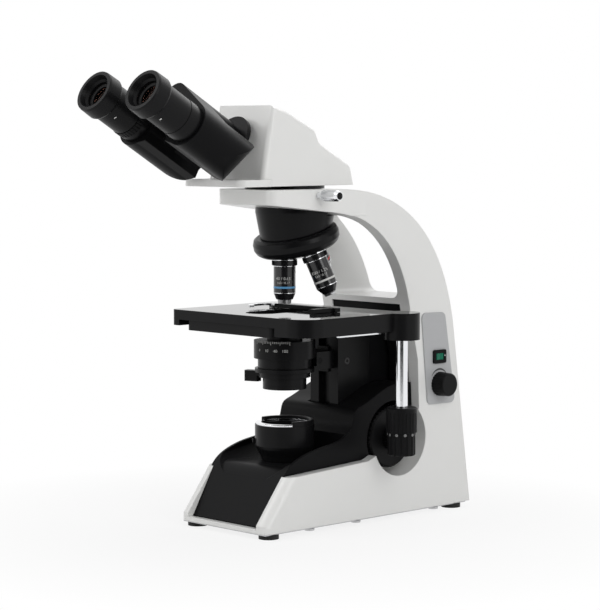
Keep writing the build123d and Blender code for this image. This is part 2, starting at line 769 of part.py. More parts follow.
with BuildPart() as switch_rocker:
    rocker_half_w = (SWITCH_W - ROCKER_MARGIN) / 2 - 1.2
    rocker_half_h = (SWITCH_H - ROCKER_MARGIN) / 2 - GAP
    with BuildSketch(level(SWITCH_Z - rocker_half_h)):
        Polygon(
            (ROCKER_PIVOT_X - 3, SWITCH_Y - 5),
            (ROCKER_PIVOT_X - 3, SWITCH_Y + 5),
            (PANEL_X - 1, SWITCH_Y + rocker_half_w),
            (PANEL_X + BEZEL_RIM, SWITCH_Y + rocker_half_w),
            (PANEL_X + BEZEL_RIM - 0.6, SWITCH_Y),
            (PANEL_X + BEZEL_RIM, SWITCH_Y - rocker_half_w),
            (PANEL_X - 1, SWITCH_Y - rocker_half_w),
            align=None,
        )
    extrude(amount=2 * rocker_half_h)
    with BuildSketch(level(SWITCH_Z - rocker_half_h)):
        with Locations((ROCKER_PIVOT_X, SWITCH_Y)):
            Circle(1.5)
    extrude(amount=2 * rocker_half_h, mode=Mode.SUBTRACT)
keep(switch_rocker, "switch_rocker")

DIMMER = turning(spot(0, DIMMER_Y, DIMMER_Z), RIGHT, side=(0, 1, 0))

with BuildPart() as dimmer_pot:
    turn(
        DIMMER,
        (0, COLUMN_IN),
        (DIMMER_BODY_R, COLUMN_IN),
        (DIMMER_BODY_R, BASE_HALF),
        (DIMMER_SHAFT_R, BASE_HALF),
        (DIMMER_SHAFT_R, PANEL_X + DIMMER_L - 3),
        (0, PANEL_X + DIMMER_L - 3),
    )
keep(dimmer_pot, "dimmer_pot")

with BuildPart() as dimmer_knob:
    turn(
        DIMMER,
        (DIMMER_SHAFT_R + RUN, PANEL_X + GAP),
        (DIMMER_R, PANEL_X + GAP),
        (DIMMER_R - 0.6, PANEL_X + DIMMER_L - 1),
        (DIMMER_R - 1.6, PANEL_X + DIMMER_L),
        (0, PANEL_X + DIMMER_L),
        (0, PANEL_X + DIMMER_L - 2.5),
        (DIMMER_SHAFT_R + RUN, PANEL_X + DIMMER_L - 2.5),
    )
    ribs(DIMMER, DIMMER_R + 0.3, PANEL_X, PANEL_X + DIMMER_L + 1, KNOB_RIBS, 0.9)
keep(dimmer_knob, "dimmer_knob")

INLET_BACK = rear_face(INLET_Z + INLET_HALF_H) - 0.5

with BuildPart() as power_inlet:
    slab(
        SEAT - INLET_HALF_W,
        INLET_HALF_W - SEAT,
        INLET_BACK - 22,
        INLET_BACK,
        INLET_Z - INLET_HALF_H + SEAT,
        INLET_Z + INLET_HALF_H - SEAT,
    )
    slab(
        3 - INLET_HALF_W,
        INLET_HALF_W - 3,
        INLET_BACK - 15,
        INLET_BACK,
        INLET_Z - INLET_HALF_H + 3,
        INLET_Z + INLET_HALF_H - 3,
        mode=Mode.SUBTRACT,
    )
    for pin_x in (-6, 0, 6):
        slab(pin_x - 1, pin_x + 1, INLET_BACK - 16, INLET_BACK - 4, INLET_Z - 2, INLET_Z + 2)
keep(power_inlet, "power_inlet")

# Focus guide, bushes and coaxial drive
FOCUS = turning(spot(0, FOCUS_Y, FOCUS_Z), RIGHT, side=(0, 1, 0))
FINE_START = COARSE_FACE + 0.5
FINE_END = FINE_START + FINE_LENGTH
PINION_HALF = 6.0

with BuildPart() as focus_rail:
    slab(-RAIL_HALF, RAIL_HALF, COLUMN_BACK - RAIL_T, COLUMN_BACK, RAIL_BOTTOM, RAIL_TOP)
keep(focus_rail, "focus_rail")

with BuildPart() as focus_bushes:
    for side in (-1, 1):
        turn(
            FOCUS,
            (COARSE_SHAFT_R + RUN, side * TUNNEL_HALF),
            (BUSH_R, side * TUNNEL_HALF),
            (BUSH_R, side * POCKET_X),
            (BUSH_R + 2, side * POCKET_X),
            (BUSH_R + 2, side * (POCKET_X + 1.5)),
            (COARSE_SHAFT_R + RUN, side * (POCKET_X + 1.5)),
        )
keep(focus_bushes, "focus_bushes")

with BuildPart() as coarse_shaft:
    turn(
        FOCUS,
        (FINE_SHAFT_R + RUN, 4 - COARSE_FACE),
        (COARSE_SHAFT_R, 4 - COARSE_FACE),
        (COARSE_SHAFT_R, -PINION_HALF),
        (PINION_R, -PINION_HALF),
        (PINION_R, PINION_HALF),
        (COARSE_SHAFT_R, PINION_HALF),
        (COARSE_SHAFT_R, COARSE_FACE - 4),
        (FINE_SHAFT_R + RUN, COARSE_FACE - 4),
    )
    ribs(FOCUS, PINION_R, -PINION_HALF, PINION_HALF, KNOB_RIBS, 0.8)
keep(coarse_shaft, "coarse_shaft")

with BuildPart() as fine_shaft:
    turn(
        FOCUS, (0, 3 - FINE_END), (FINE_SHAFT_R, 3 - FINE_END), (FINE_SHAFT_R, FINE_END - 3), (0, FINE_END - 3)
    )
keep(fine_shaft, "fine_shaft")

for side, name in ((1, "right"), (-1, "left")):
    with BuildPart() as coarse_knob:
        turn(
            FOCUS,
            (COARSE_SHAFT_R + SEAT, side * (COARSE_FACE - COARSE_T)),
            (COARSE_R - 4, side * (COARSE_FACE - COARSE_T)),
            (COARSE_R, side * (COARSE_FACE - COARSE_T + 4)),
            (COARSE_R, side * (COARSE_FACE - 2)),
            (COARSE_R - 2, side * COARSE_FACE),
            (FINE_SHAFT_R + RUN, side * COARSE_FACE),
            (FINE_SHAFT_R + RUN, side * (COARSE_FACE - 4)),
            (COARSE_SHAFT_R + SEAT, side * (COARSE_FACE - 4)),
        )
        ribs(FOCUS, COARSE_R + 0.6, side * (COARSE_FACE - COARSE_T), side * (COARSE_FACE + 1), 40, 1.4)
    keep(coarse_knob, f"coarse_knob_{name}")

    with BuildPart() as fine_knob:
        turn(
            FOCUS,
            (FINE_SHAFT_R + SEAT, side * FINE_START),
            (FINE_R, side * FINE_START),
            (FINE_R, side * (FINE_END - 1.5)),
            (FINE_R - 1.5, side * FINE_END),
            (0, side * FINE_END),
            (0, side * (FINE_END - 3)),
            (FINE_SHAFT_R + SEAT, side * (FINE_END - 3)),
        )
        ribs(FOCUS, FINE_R + 0.4, side * FINE_START, side * (FINE_END + 1), KNOB_RIBS, 1.0)
    keep(fine_knob, f"fine_knob_{name}")

# Focus carriage and its rack
LOWER_TOP = STAGE_TOP - STAGE_T - GAP
LOWER_BOTTOM = LOWER_TOP - LOWER_T
RACK_FRONT = FOCUS_Y + PINION_R + GAP
RACK_T = 5.0
RACK_BACK = RACK_FRONT + RACK_T
RACK_BOTTOM = FOCUS_Z - 20
CARRIAGE_REAR = COLUMN_BACK - 0.5
CARRIAGE_STEP_Y = 101.0
NECK_HALF = 17.0       # the carriage is narrower inside the column
APRON_REAR = 88.0
APRON_BOTTOM = 106.0

with BuildPart() as focus_carriage:
    slab(-CARRIAGE_HALF, CARRIAGE_HALF, CARRIAGE_FRONT, CARRIAGE_STEP_Y, CARRIAGE_BOTTOM, LOWER_BOTTOM)
    slab(-CARRIAGE_HALF, CARRIAGE_HALF, CARRIAGE_FRONT, APRON_REAR, APRON_BOTTOM, CARRIAGE_BOTTOM)
    slab(-NECK_HALF, NECK_HALF, CARRIAGE_STEP_Y, CARRIAGE_REAR, CARRIAGE_BOTTOM, LOWER_BOTTOM)
    slab(-NECK_HALF, NECK_HALF, RACK_BACK, CARRIAGE_REAR, RACK_BOTTOM, CARRIAGE_BOTTOM)
    slab(
        -RAIL_HALF - GAP,
        RAIL_HALF + GAP,
        COLUMN_BACK - RAIL_T - GAP,
        COLUMN_BACK,
        0,
        COLUMN_TOP,
        mode=Mode.SUBTRACT,
    )
    # Groove of the condenser bracket
    slab(
        -TONGUE_HALF,
        TONGUE_HALF,
        0,
        CARRIAGE_FRONT + TONGUE_T,
        0,
        COLUMN_TOP,
        mode=Mode.SUBTRACT,
    )
keep(focus_carriage, "focus_carriage")

with BuildPart() as focus_rack:
    slab(-PINION_HALF, PINION_HALF, RACK_FRONT, RACK_BACK, RACK_BOTTOM, CARRIAGE_BOTTOM)
keep(focus_rack, "focus_rack")

# Stage: fixed lower plate, rails, moving upper plate with the boss of its drive
RAIL_W = 6.0
RAIL_Z0 = LOWER_BOTTOM + 2
RAIL_Z1 = LOWER_TOP - 2
RAIL_Y0 = -15.0
CORNER_SKIRT_X = 55.0
SKIRT_REAR = 58.0
LOWER_FRONT = STAGE_FRONT + 3
LOWER_REAR = STAGE_REAR - 8

with BuildPart() as stage_base_plate:
    slab(LOWER_LEFT, LOWER_RIGHT, LOWER_FRONT, LOWER_REAR, LOWER_BOTTOM, LOWER_TOP)
    with BuildSketch(level(LOWER_BOTTOM)):
        Circle(COND_LENS_R + 6)
    extrude(amount=LOWER_T, mode=Mode.SUBTRACT)
    fillet(stage_base_plate.edges().filter_by(Axis.Z).sort_by(Axis.Y)[:2], 6)
keep(stage_base_plate, "stage_base_plate")

with BuildPart() as stage_rails:
    slab(LOWER_RIGHT, LOWER_RIGHT + RAIL_W, RAIL_Y0, LOWER_REAR, RAIL_Z0, RAIL_Z1)
    slab(LOWER_LEFT - RAIL_W, LOWER_LEFT, RAIL_Y0, LOWER_REAR, RAIL_Z0, RAIL_Z1)
keep(stage_rails, "stage_rails")

with BuildPart() as stage_plate:
    with BuildSketch(level(STAGE_TOP - STAGE_T)) as stage_outline:
        with Locations((0, (STAGE_FRONT + STAGE_REAR) / 2)):
            Rectangle(2 * STAGE_HALF, STAGE_REAR - STAGE_FRONT)
        fillet(stage_outline.vertices().sort_by(Axis.X)[-2:].sort_by(Axis.Y)[0], STAGE_CORNER_R)
        fillet(stage_outline.vertices().sort_by(Axis.X)[:2], 6)
    extrude(amount=STAGE_T)
    extrude(stage_outline.sketch, amount=STAGE_T - SKIRT_DEPTH)
    # The skirt stays only along both ends and round the near corner
    slab(
        SKIRT_T - STAGE_HALF,
        CORNER_SKIRT_X,
        2 * STAGE_FRONT,
        2 * STAGE_REAR,
        STAGE_TOP - SKIRT_DEPTH,
        STAGE_TOP - STAGE_T,
        mode=Mode.SUBTRACT,
    )
    slab(
        CORNER_SKIRT_X - 1,
        STAGE_HALF - SKIRT_T,
        STAGE_FRONT + SKIRT_T,
        2 * STAGE_REAR,
        STAGE_TOP - SKIRT_DEPTH,
        STAGE_TOP - STAGE_T,
        mode=Mode.SUBTRACT,
    )
    slab(
        -2 * STAGE_HALF,
        2 * STAGE_HALF,
        SKIRT_REAR,
        2 * STAGE_REAR,
        STAGE_TOP - SKIRT_DEPTH,
        STAGE_TOP - STAGE_T,
        mode=Mode.SUBTRACT,
    )
    slab(
        -2 * STAGE_HALF,
        SKIRT_T - STAGE_HALF,
        2 * STAGE_FRONT,
        2 * STAGE_REAR,
        STAGE_TOP - SKIRT_DEPTH,
        STAGE_TOP - LUG_DEPTH,
        mode=Mode.SUBTRACT,
    )
    with BuildSketch(level(STAGE_TOP - DRIVE_BOSS_DROP)):
        with Locations((DRIVE_X, DRIVE_Y)):
            Circle(DRIVE_BOSS_R)
    extrude(amount=DRIVE_BOSS_DROP)
    with BuildSketch(level(STAGE_TOP - STAGE_T)):
        SlotOverall(APERTURE_TRAVEL + 2 * APERTURE_HALF, 2 * APERTURE_HALF, rotation=90)
    extrude(amount=STAGE_T, mode=Mode.SUBTRACT)
    with BuildSketch(level(STAGE_TOP - DRIVE_BOSS_DROP)):
        with Locations((DRIVE_X, DRIVE_Y)):
            Circle(DRIVE_SHAFT_R + RUN)
    extrude(amount=DRIVE_BOSS_DROP - 6, mode=Mode.SUBTRACT)
keep(stage_plate, "stage_plate")

# Coaxial stage drive
DRIVE = turning(spot(DRIVE_X, DRIVE_Y, 0), UP)
BOSS_BOTTOM = STAGE_TOP - DRIVE_BOSS_DROP
Y_KNOB_BOTTOM = Y_KNOB_TOP - Y_KNOB_H
X_KNOB_TOP = Y_KNOB_BOTTOM - GAP
X_KNOB_BOTTOM = X_KNOB_TOP - X_KNOB_H

with BuildPart() as drive_tube:
    turn(
        DRIVE,
        (DRIVE_SHAFT_R + RUN, Y_KNOB_BOTTOM + 1),
        (DRIVE_TUBE_R, Y_KNOB_BOTTOM + 1),
        (DRIVE_TUBE_R, BOSS_BOTTOM),
        (DRIVE_SHAFT_R + RUN, BOSS_BOTTOM),
    )
keep(drive_tube, "drive_tube")

with BuildPart() as y_knob:
    turn(
        DRIVE,
        (DRIVE_TUBE_R + RUN, Y_KNOB_BOTTOM),
        (Y_KNOB_R, Y_KNOB_BOTTOM),
        (Y_KNOB_R, Y_KNOB_TOP - 1),
        (Y_KNOB_R - 1, Y_KNOB_TOP),
        (DRIVE_TUBE_R + RUN, Y_KNOB_TOP),
    )
    ribs(DRIVE, Y_KNOB_R + 0.4, Y_KNOB_BOTTOM, Y_KNOB_TOP - 5, KNOB_RIBS, 1.0)
keep(y_knob, "y_knob")

with BuildPart() as x_knob:
    turn(
        DRIVE,
        (0, X_KNOB_BOTTOM),
        (X_KNOB_R - 1, X_KNOB_BOTTOM),
        (X_KNOB_R, X_KNOB_BOTTOM + 1),
        (X_KNOB_R, X_KNOB_TOP),
        (DRIVE_SHAFT_R, X_KNOB_TOP),
        (DRIVE_SHAFT_R, STAGE_TOP - 8),
        (0, STAGE_TOP - 8),
    )
    ribs(DRIVE, X_KNOB_R + 0.6, X_KNOB_BOTTOM - 1, X_KNOB_TOP - 3, X_KNOB_RIBS, 1.7)
keep(x_knob, "x_knob")

# Slide holder with a fixed jaw and a sprung finger
HOLDER_Z0 = STAGE_TOP + GAP
HOLDER_Z1 = HOLDER_Z0 + HOLDER_H
HOLDER_BACK = HOLDER_Y + HOLDER_T
FINGER_Y = HOLDER_Y + HOLDER_T / 2
FINGER_Z0 = HOLDER_Z1 - FINGER_T + GAP
FINGER_EYE_R = 5.0
FINGER_PIN_R = 1.5
FINGER_W = 5.0
JAW_X = -FINGER_PIVOT_X

with BuildPart() as slide_holder:
    slab(FINGER_PIVOT_X - 6, FINGER_PIVOT_X - 6 + HOLDER_LENGTH, HOLDER_Y, HOLDER_BACK, HOLDER_Z0, HOLDER_Z1)
    slab(JAW_X, JAW_X + HOLDER_T, HOLDER_Y - SLIDE_W, HOLDER_Y, HOLDER_Z0, HOLDER_Z1)
    with BuildSketch(level(FINGER_Z0 - GAP)):
        with Locations((FINGER_PIVOT_X, FINGER_Y)):
            Circle(FINGER_EYE_R + 2.5)
            Circle(FINGER_PIN_R - RUN, mode=Mode.SUBTRACT)
    extrude(amount=HOLDER_H, mode=Mode.SUBTRACT)
keep(slide_holder, "slide_holder")

with BuildPart() as holder_finger:
    with BuildSketch(level(FINGER_Z0)) as finger_face:
        with BuildLine() as finger_path:
            ThreePointArc(
                (FINGER_PIVOT_X, FINGER_Y),
                (FINGER_PIVOT_X - 9, FINGER_Y - 17),
                (FINGER_PIVOT_X + 3, FINGER_Y - 36),
            )
        trace(finger_path.edges(), line_width=FINGER_W)
        with Locations((FINGER_PIVOT_X, FINGER_Y)):
            Circle(FINGER_EYE_R)
            Circle(FINGER_PIN_R, mode=Mode.SUBTRACT)
    extrude(amount=FINGER_T - GAP)
keep(holder_finger, "holder_finger")

# Condenser with its bracket, iris lever and focus knob
LENS_TUBE_R = COND_LENS_R + 4
IRIS_TOP = MOUNT_BOTTOM - GAP
IRIS_BOTTOM = IRIS_TOP - IRIS_T

with BuildPart() as condenser_body:
    turn(
        OPTICAL,
        (COND_LENS_R - 4, COND_LOW_Z),
        (COND_LOW_R, COND_LOW_Z),
        (COND_LOW_R, COND_MID_Z),
        (COND_MID_R, COND_MID_Z),
        (COND_MID_R, COND_TOP - COND_SCALE_H),
        (COND_R, COND_TOP - COND_SCALE_H),
        (COND_R, COND_TOP - 2),
        (LENS_TUBE_R, COND_TOP - 2),
        (LENS_TUBE_R, COND_LENS_TOP - 6),
        (COND_LENS_R, COND_LENS_TOP - 6),
        (COND_LENS_R, COND_TOP),
        (COND_LENS_R - 4, COND_TOP),
    )
keep(condenser_body, "condenser_body")

with BuildPart() as condenser_lens:
    lens(OPTICAL, COND_LENS_R - SEAT, COND_TOP, COND_LENS_TOP - 5, 3.0)
keep(condenser_lens, "condenser_lens")

with BuildPart() as condenser_mount:
    turn(
        OPTICAL,
        (COND_LOW_R + SEAT, MOUNT_BOTTOM),
        (MOUNT_R, MOUNT_BOTTOM),
        (MOUNT_R, COND_MID_Z - SEAT),
        (COND_LOW_R + SEAT, COND_MID_Z - SEAT),
    )
    slab(-MOUNT_HALF, MOUNT_HALF, MOUNT_R - 8, MOUNT_R + 2, MOUNT_BOTTOM, COND_MID_Z - SEAT)
    slab(-MOUNT_HALF, MOUNT_HALF, MOUNT_R + 1.5, CARRIAGE_FRONT - GAP, MOUNT_BOTTOM, MOUNT_TOP)
    slab(
        GAP - TONGUE_HALF,
        TONGUE_HALF - GAP,
        CARRIAGE_FRONT - 2,
        CARRIAGE_FRONT + TONGUE_T - GAP,
        MOUNT_BOTTOM - 4,
        MOUNT_TOP + 4,
    )
    turn(
        turning(spot(-MOUNT_HALF, COND_KNOB_Y, COND_KNOB_Z), RIGHT, side=(0, 1, 0)),
        (0, 0),
        (COND_SHAFT_R + RUN, 0),
        (COND_SHAFT_R + RUN, 2 * MOUNT_HALF),
        (0, 2 * MOUNT_HALF),
        mode=Mode.SUBTRACT,
    )
    turn(
        OPTICAL,
        (0, 0),
        (COND_LOW_R + SEAT, 0),
        (COND_LOW_R + SEAT, COND_TOP),
        (0, COND_TOP),
        mode=Mode.SUBTRACT,
    )
keep(condenser_mount, "condenser_mount")

with BuildPart() as condenser_knob:
    turn(
        turning(spot(0, COND_KNOB_Y, COND_KNOB_Z), RIGHT, side=(0, 1, 0)),
        (0, -MOUNT_HALF - GAP - COND_KNOB_L),
        (COND_KNOB_R - 1, -MOUNT_HALF - GAP - COND_KNOB_L),
        (COND_KNOB_R, 1 - MOUNT_HALF - GAP - COND_KNOB_L),
        (COND_KNOB_R, -MOUNT_HALF - GAP),
        (COND_SHAFT_R, -MOUNT_HALF - GAP),
        (COND_SHAFT_R, MOUNT_HALF),
        (0, MOUNT_HALF),
    )
keep(condenser_knob, "condenser_knob")

with BuildPart() as iris_lever:
    turn(
        OPTICAL,
        (COND_LOW_R + RUN, IRIS_BOTTOM),
        (IRIS_R, IRIS_BOTTOM),
        (IRIS_R, IRIS_TOP),
        (COND_LOW_R + RUN, IRIS_TOP),
    )
    lever_plane = Plane(
        spot(0, 0, IRIS_BOTTOM),
        x_dir=(cos(radians(LEVER_ANGLE)), sin(radians(LEVER_ANGLE)), 0),
        z_dir=(0, 0, 1),
    )
    with BuildSketch(lever_plane):
        with Locations(((IRIS_R + LEVER_REACH) / 2 - 1, 0)):
            RectangleRounded(LEVER_REACH - IRIS_R + 2, LEVER_W, 2)
    extrude(amount=IRIS_T)
    with BuildSketch(lever_plane.offset(IRIS_T - LEVER_H)):
        with Locations((LEVER_REACH - 8, 0)):
            RectangleRounded(16, LEVER_W, 2)
    extrude(amount=LEVER_H)
keep(iris_lever, "iris_lever")

# Nosepiece: tilted turret under a fixed mount, four objectives on the thread circle
TILT = radians(NOSE_TILT)
TURRET_DOWN = Vector(0, sin(TILT), -cos(TILT))
TURRET_BACK = Vector(0, cos(TILT), sin(TILT))
TURRET_CENTRE = spot(0, 0, SHOULDER_Z) + TURRET_BACK * THREAD_CIRCLE
TURRET = turning(TURRET_CENTRE, TURRET_DOWN * -1)
TURRET_TOP = TURRET_T + 4
CONE = tan(TILT)
THREAD_R = 10.0
THREAD_H = 4.0
LIGHT_HOLE_R = 7.5
PIN_R = 6.0
NOSE_TOP_R = 40.0
NOSE_FOOT_R = 33.0
NOSE_AXIS_Y = 14.5
OBJECTIVES = {"objective_40x": 0, "objective_100x": 90, "objective_4x": 180, "objective_10x": 270}


def objective_axis(angle):
    """The shoulder point and the downward direction of the objective at a turret angle."""
    outwards = TURRET_BACK * -cos(radians(angle)) + RIGHT * sin(radians(angle))
    shoulder = TURRET_CENTRE + outwards * THREAD_CIRCLE
    return shoulder, TURRET_DOWN * cos(TILT) + outwards * sin(TILT)


def objective_plane(angle):
    """A turning plane along an objective, with its shoulder at zero."""
    shoulder, down = objective_axis(angle)
    return turning(shoulder, down, side=down.cross(TURRET_DOWN.cross(down) + RIGHT * 0.001).normalized())


with BuildPart() as turret_disc:
    turn(
        TURRET,
        (0, -THREAD_CIRCLE * CONE),
        (TURRET_R - 5, (TURRET_R - 5 - THREAD_CIRCLE) * CONE),
        (TURRET_R - 2, (TURRET_R - THREAD_CIRCLE) * CONE + 1),
        (TURRET_R, (TURRET_R - THREAD_CIRCLE) * CONE + 5),
        (TURRET_R, TURRET_TOP - 6),
        (TURRET_R - 1.5, TURRET_TOP - 2),
        (TURRET_R - 5, TURRET_TOP),
        (0, TURRET_TOP),
    )
    turn(
        TURRET,
        (0, TURRET_TOP - 12),
        (PIN_R + RUN, TURRET_TOP - 12),
        (PIN_R + RUN, TURRET_TOP),
        (0, TURRET_TOP),
        mode=Mode.SUBTRACT,
    )
    for angle in OBJECTIVES.values():
        turn(
            objective_plane(angle),
            (0, 1),
            (OBJ_GRIP_R + GAP, 1),
            (OBJ_GRIP_R + GAP, 0),
            (THREAD_R + SEAT, 0),
            (THREAD_R + SEAT, -THREAD_H - 1),
            (LIGHT_HOLE_R, -THREAD_H - 1),
            (LIGHT_HOLE_R, -2 * TURRET_T),
            (0, -2 * TURRET_T),
            mode=Mode.SUBTRACT,
        )
keep(turret_disc, "turret_disc")

with BuildPart() as nosepiece_mount:
    turn(
        turning(spot(0, NOSE_AXIS_Y, 0), UP),
        (0, SHOULDER_Z),
        (NOSE_FOOT_R, SHOULDER_Z + 10),
        (NOSE_TOP_R, ARM_UNDER_Z),
        (NOSE_TOP_R, ARM_TOP),
        (0, ARM_TOP),
    )
    across(
        -BASE_HALF,
        BASE_HALF,
        (2 * ARM_FRONT - ARM_UNDER_Y, 2 * (ARM_TOP - ARM_NOSE_T) - ARM_UNDER_Z),
        (ARM_UNDER_Y, ARM_UNDER_Z),
        (ARM_UNDER_Y, WINDOW_TOP),
        (COLUMN_Y, WINDOW_TOP),
        (COLUMN_Y, 2 * ARM_TOP),
        (2 * ARM_FRONT, 2 * ARM_TOP),
        mode=Mode.SUBTRACT,
    )
    nose_face = Plane(TURRET_CENTRE - TURRET_DOWN * (TURRET_TOP + GAP), z_dir=TURRET_DOWN * -1)
    split(bisect_by=nose_face, keep=Keep.TOP)
    turn(
        OPTICAL,
        (0, SHOULDER_Z),
        (LIGHT_HOLE_R + 2, SHOULDER_Z),
        (LIGHT_HOLE_R + 2, ARM_TOP),
        (0, ARM_TOP),
        mode=Mode.SUBTRACT,
    )
    turn(
        TURRET,
        (0, TURRET_TOP - 11),
        (PIN_R, TURRET_TOP - 11),
        (PIN_R, TURRET_TOP + 4),
        (0, TURRET_TOP + 4),
    )
keep(nosepiece_mount, "nosepiece_mount")

# Barrel steps of each objective: (radius, distance below the shoulder)
BARRELS = {
    "objective_40x": [(OBJ_BARREL_R, 34), (OBJ_BARREL_R - 2.5, 40), (7.0, 40.5), (6.5, PARFOCAL - 0.6)],
    "objective_100x": [(OBJ_BARREL_R, 35), (6.0, 43), (5.5, PARFOCAL - 0.2)],
    "objective_10x": [(OBJ_BARREL_R, 28), (8.0, 35), (7.5, PARFOCAL - 8)],
    "objective_4x": [(OBJ_BARREL_R, 20), (9.0, 24), (8.5, PARFOCAL - 17)],
}
for name, angle in OBJECTIVES.items():
    tip = BARRELS[name][-1][1]
    with BuildPart() as objective:
        turn(
            objective_plane(angle),
            (0, -THREAD_H),
            (THREAD_R, -THREAD_H),
            (THREAD_R, 0),
            (OBJ_GRIP_R, 0),
            (OBJ_GRIP_R, OBJ_GRIP_H),
            (OBJ_BARREL_R, OBJ_GRIP_H),
            *BARRELS[name],
            (0, tip),
        )
    keep(objective, name)

# Head seat in the arm, the head's round foot and the clamp screw
CLAMP_X = ARM_FRONT_HALF + (BASE_HALF - ARM_FRONT_HALF) * (CLAMP_Y - ARM_FRONT) / (ARM_FLARE_Y - ARM_FRONT) + 1
CLAMP_NECK = 4.0
CLAMP_LENGTH = 28.0
CLAMP_HEAD_R = 5.5
CLAMP = turning(spot(0, CLAMP_Y, CLAMP_Z), RIGHT, side=(0, 1, 0))
FLANGE_Z = ARM_TOP + GAP
HEAD_BOTTOM = FLANGE_Z + FLANGE_T

with BuildPart() as head_seat:
    turn(
        OPTICAL,
        (PLUG_R + RUN, ARM_TOP - SEAT_DEPTH),
        (SEAT_RING_R, ARM_TOP - SEAT_DEPTH),
        (SEAT_RING_R, ARM_TOP),
        (PLUG_R + RUN, ARM_TOP),
    )
    turn(CLAMP, (0, 0), (CLAMP_R + RUN, 0), (CLAMP_R + RUN, BASE_HALF), (0, BASE_HALF), mode=Mode.SUBTRACT)
keep(head_seat, "head_seat")

with BuildPart() as head_dovetail:
    turn(
        OPTICAL,
        (LIGHT_R, ARM_TOP - SEAT_DEPTH + 1),
        (PLUG_R, ARM_TOP - SEAT_DEPTH + 1),
        (PLUG_R, FLANGE_Z),
        (SEAT_R, FLANGE_Z),
        (SEAT_R, HEAD_BOTTOM),
        (LIGHT_R, HEAD_BOTTOM),
    )
keep(head_dovetail, "head_dovetail")

with BuildPart() as head_clamp_screw:
    turn(
        CLAMP,
        (0, PLUG_R + GAP),
        (CLAMP_R, PLUG_R + GAP),
        (CLAMP_R, CLAMP_X + CLAMP_NECK),
        (CLAMP_HEAD_R - 1, CLAMP_X + CLAMP_NECK),
        (CLAMP_HEAD_R, CLAMP_X + CLAMP_LENGTH - 3),
        (CLAMP_HEAD_R - 1, CLAMP_X + CLAMP_LENGTH),
        (0, CLAMP_X + CLAMP_LENGTH),
    )
keep(head_clamp_screw, "head_clamp_screw")

# Eye tube directions: back along the tubes, and up across them
EYE_BACK = EYE_DIR * -1
EYE_UP = Vector(0, sin(radians(EYE_TILT)), cos(radians(EYE_TILT)))
RIM_CENTRE = spot(0, CUP_FRONT_Y, CUP_FRONT_Z)
PIVOT = turning(RIM_CENTRE + EYE_UP * PIVOT_RISE, EYE_BACK)
HUB_START = HOUSING_FACE + HOUSING_L + GAP
HUB_END = HUB_START + 40
HUB_R = EAR_R - 1
EAR_SPLIT = HOUSING_FACE + HOUSING_L / 2
SPIGOT_R = TUBE_R - 2
SPIGOT_L = 12.0
HOUSING_END = HOUSING_FACE + HOUSING_L
STERN_START = HOUSING_END - STERN_L
STERN_REACH = EYE_HALF + PIVOT_RISE + EAR_R
STERN_END = LOBE_R - STERN_R + (STERN_R**2 - STERN_L**2) ** 0.5
STERN_MIDDLE = LOBE_R - STERN_R + (STERN_R**2 - STERN_L**2 / 4) ** 0.5
DISC_START = HOUSING_END + HINGE_DISC_GAP

# White head: prism box with a plateau, a lower tail and a thin chin under the eye tubes
HEAD_WALL = 5.0
HEAD_FLOOR = 7.0

with BuildPart() as head_body:
    with BuildSketch(upright(-HEAD_HALF)) as head_side:
        Polygon(
            (HEAD_FRONT, HEAD_BOTTOM),
            (HEAD_TOP_FRONT, HEAD_TOP),
            (HEAD_TOP_REAR, HEAD_TOP_REAR_Z),
            (HEAD_SHOULDER_Y, HEAD_SHOULDER_Z),
            (HEAD_DIP_Y, HEAD_DIP_Z),
            (HEAD_TAIL_Y, HEAD_TAIL_Z),
            (HEAD_REAR, HEAD_BOTTOM),
            align=None,
        )
        fillet(head_side.vertices().group_by(Axis.Y)[1:-1], 2 * HEAD_EDGE_R)
    extrude(amount=2 * HEAD_HALF)
    side_edges = head_body.faces().filter_by(Plane.YZ).edges()
    fillet(side_edges.filter_by(lambda e: e.center().Z > HEAD_BOTTOM + 1), HEAD_EDGE_R)
    with BuildSketch(level(HEAD_BOTTOM)):
        with Locations((0, (CHIN_FRONT + HEAD_TOP_FRONT) / 2)):
            RectangleRounded(2 * CHIN_HALF, HEAD_TOP_FRONT - CHIN_FRONT, 2 * HEAD_EDGE_R)
    extrude(amount=CHIN_T)
    across(
        HEAD_WALL - HEAD_HALF,
        HEAD_HALF - HEAD_WALL,
        (HEAD_FRONT + 2 * HEAD_WALL, HEAD_BOTTOM + HEAD_FLOOR),
        (HEAD_TOP_FRONT + HEAD_WALL, HEAD_TOP - 2 * HEAD_WALL),
        (HEAD_TOP_REAR - HEAD_WALL, HEAD_TOP - 2 * HEAD_WALL),
        (HEAD_SHOULDER_Y - HEAD_WALL, HEAD_SHOULDER_Z - HEAD_WALL),
        (HEAD_DIP_Y - HEAD_WALL, HEAD_DIP_Z - HEAD_WALL),
        (HEAD_TAIL_Y - 2 * HEAD_WALL, HEAD_TAIL_Z - HEAD_WALL),
        (HEAD_REAR - 2 * HEAD_WALL, HEAD_BOTTOM + HEAD_FLOOR),
        mode=Mode.SUBTRACT,
    )
    turn(
        OPTICAL,
        (0, HEAD_BOTTOM),
        (LIGHT_R, HEAD_BOTTOM),
        (LIGHT_R, HEAD_BOTTOM + HEAD_FLOOR),
        (0, HEAD_BOTTOM + HEAD_FLOOR),
        mode=Mode.SUBTRACT,
    )
    turn(
        PIVOT,
        (0, HOUSING_FACE),
        (HUB_R + SEAT, HOUSING_FACE),
        (HUB_R + SEAT, HUB_END),
        (0, HUB_END),
        mode=Mode.SUBTRACT,
    )
keep(head_body, "head_body")

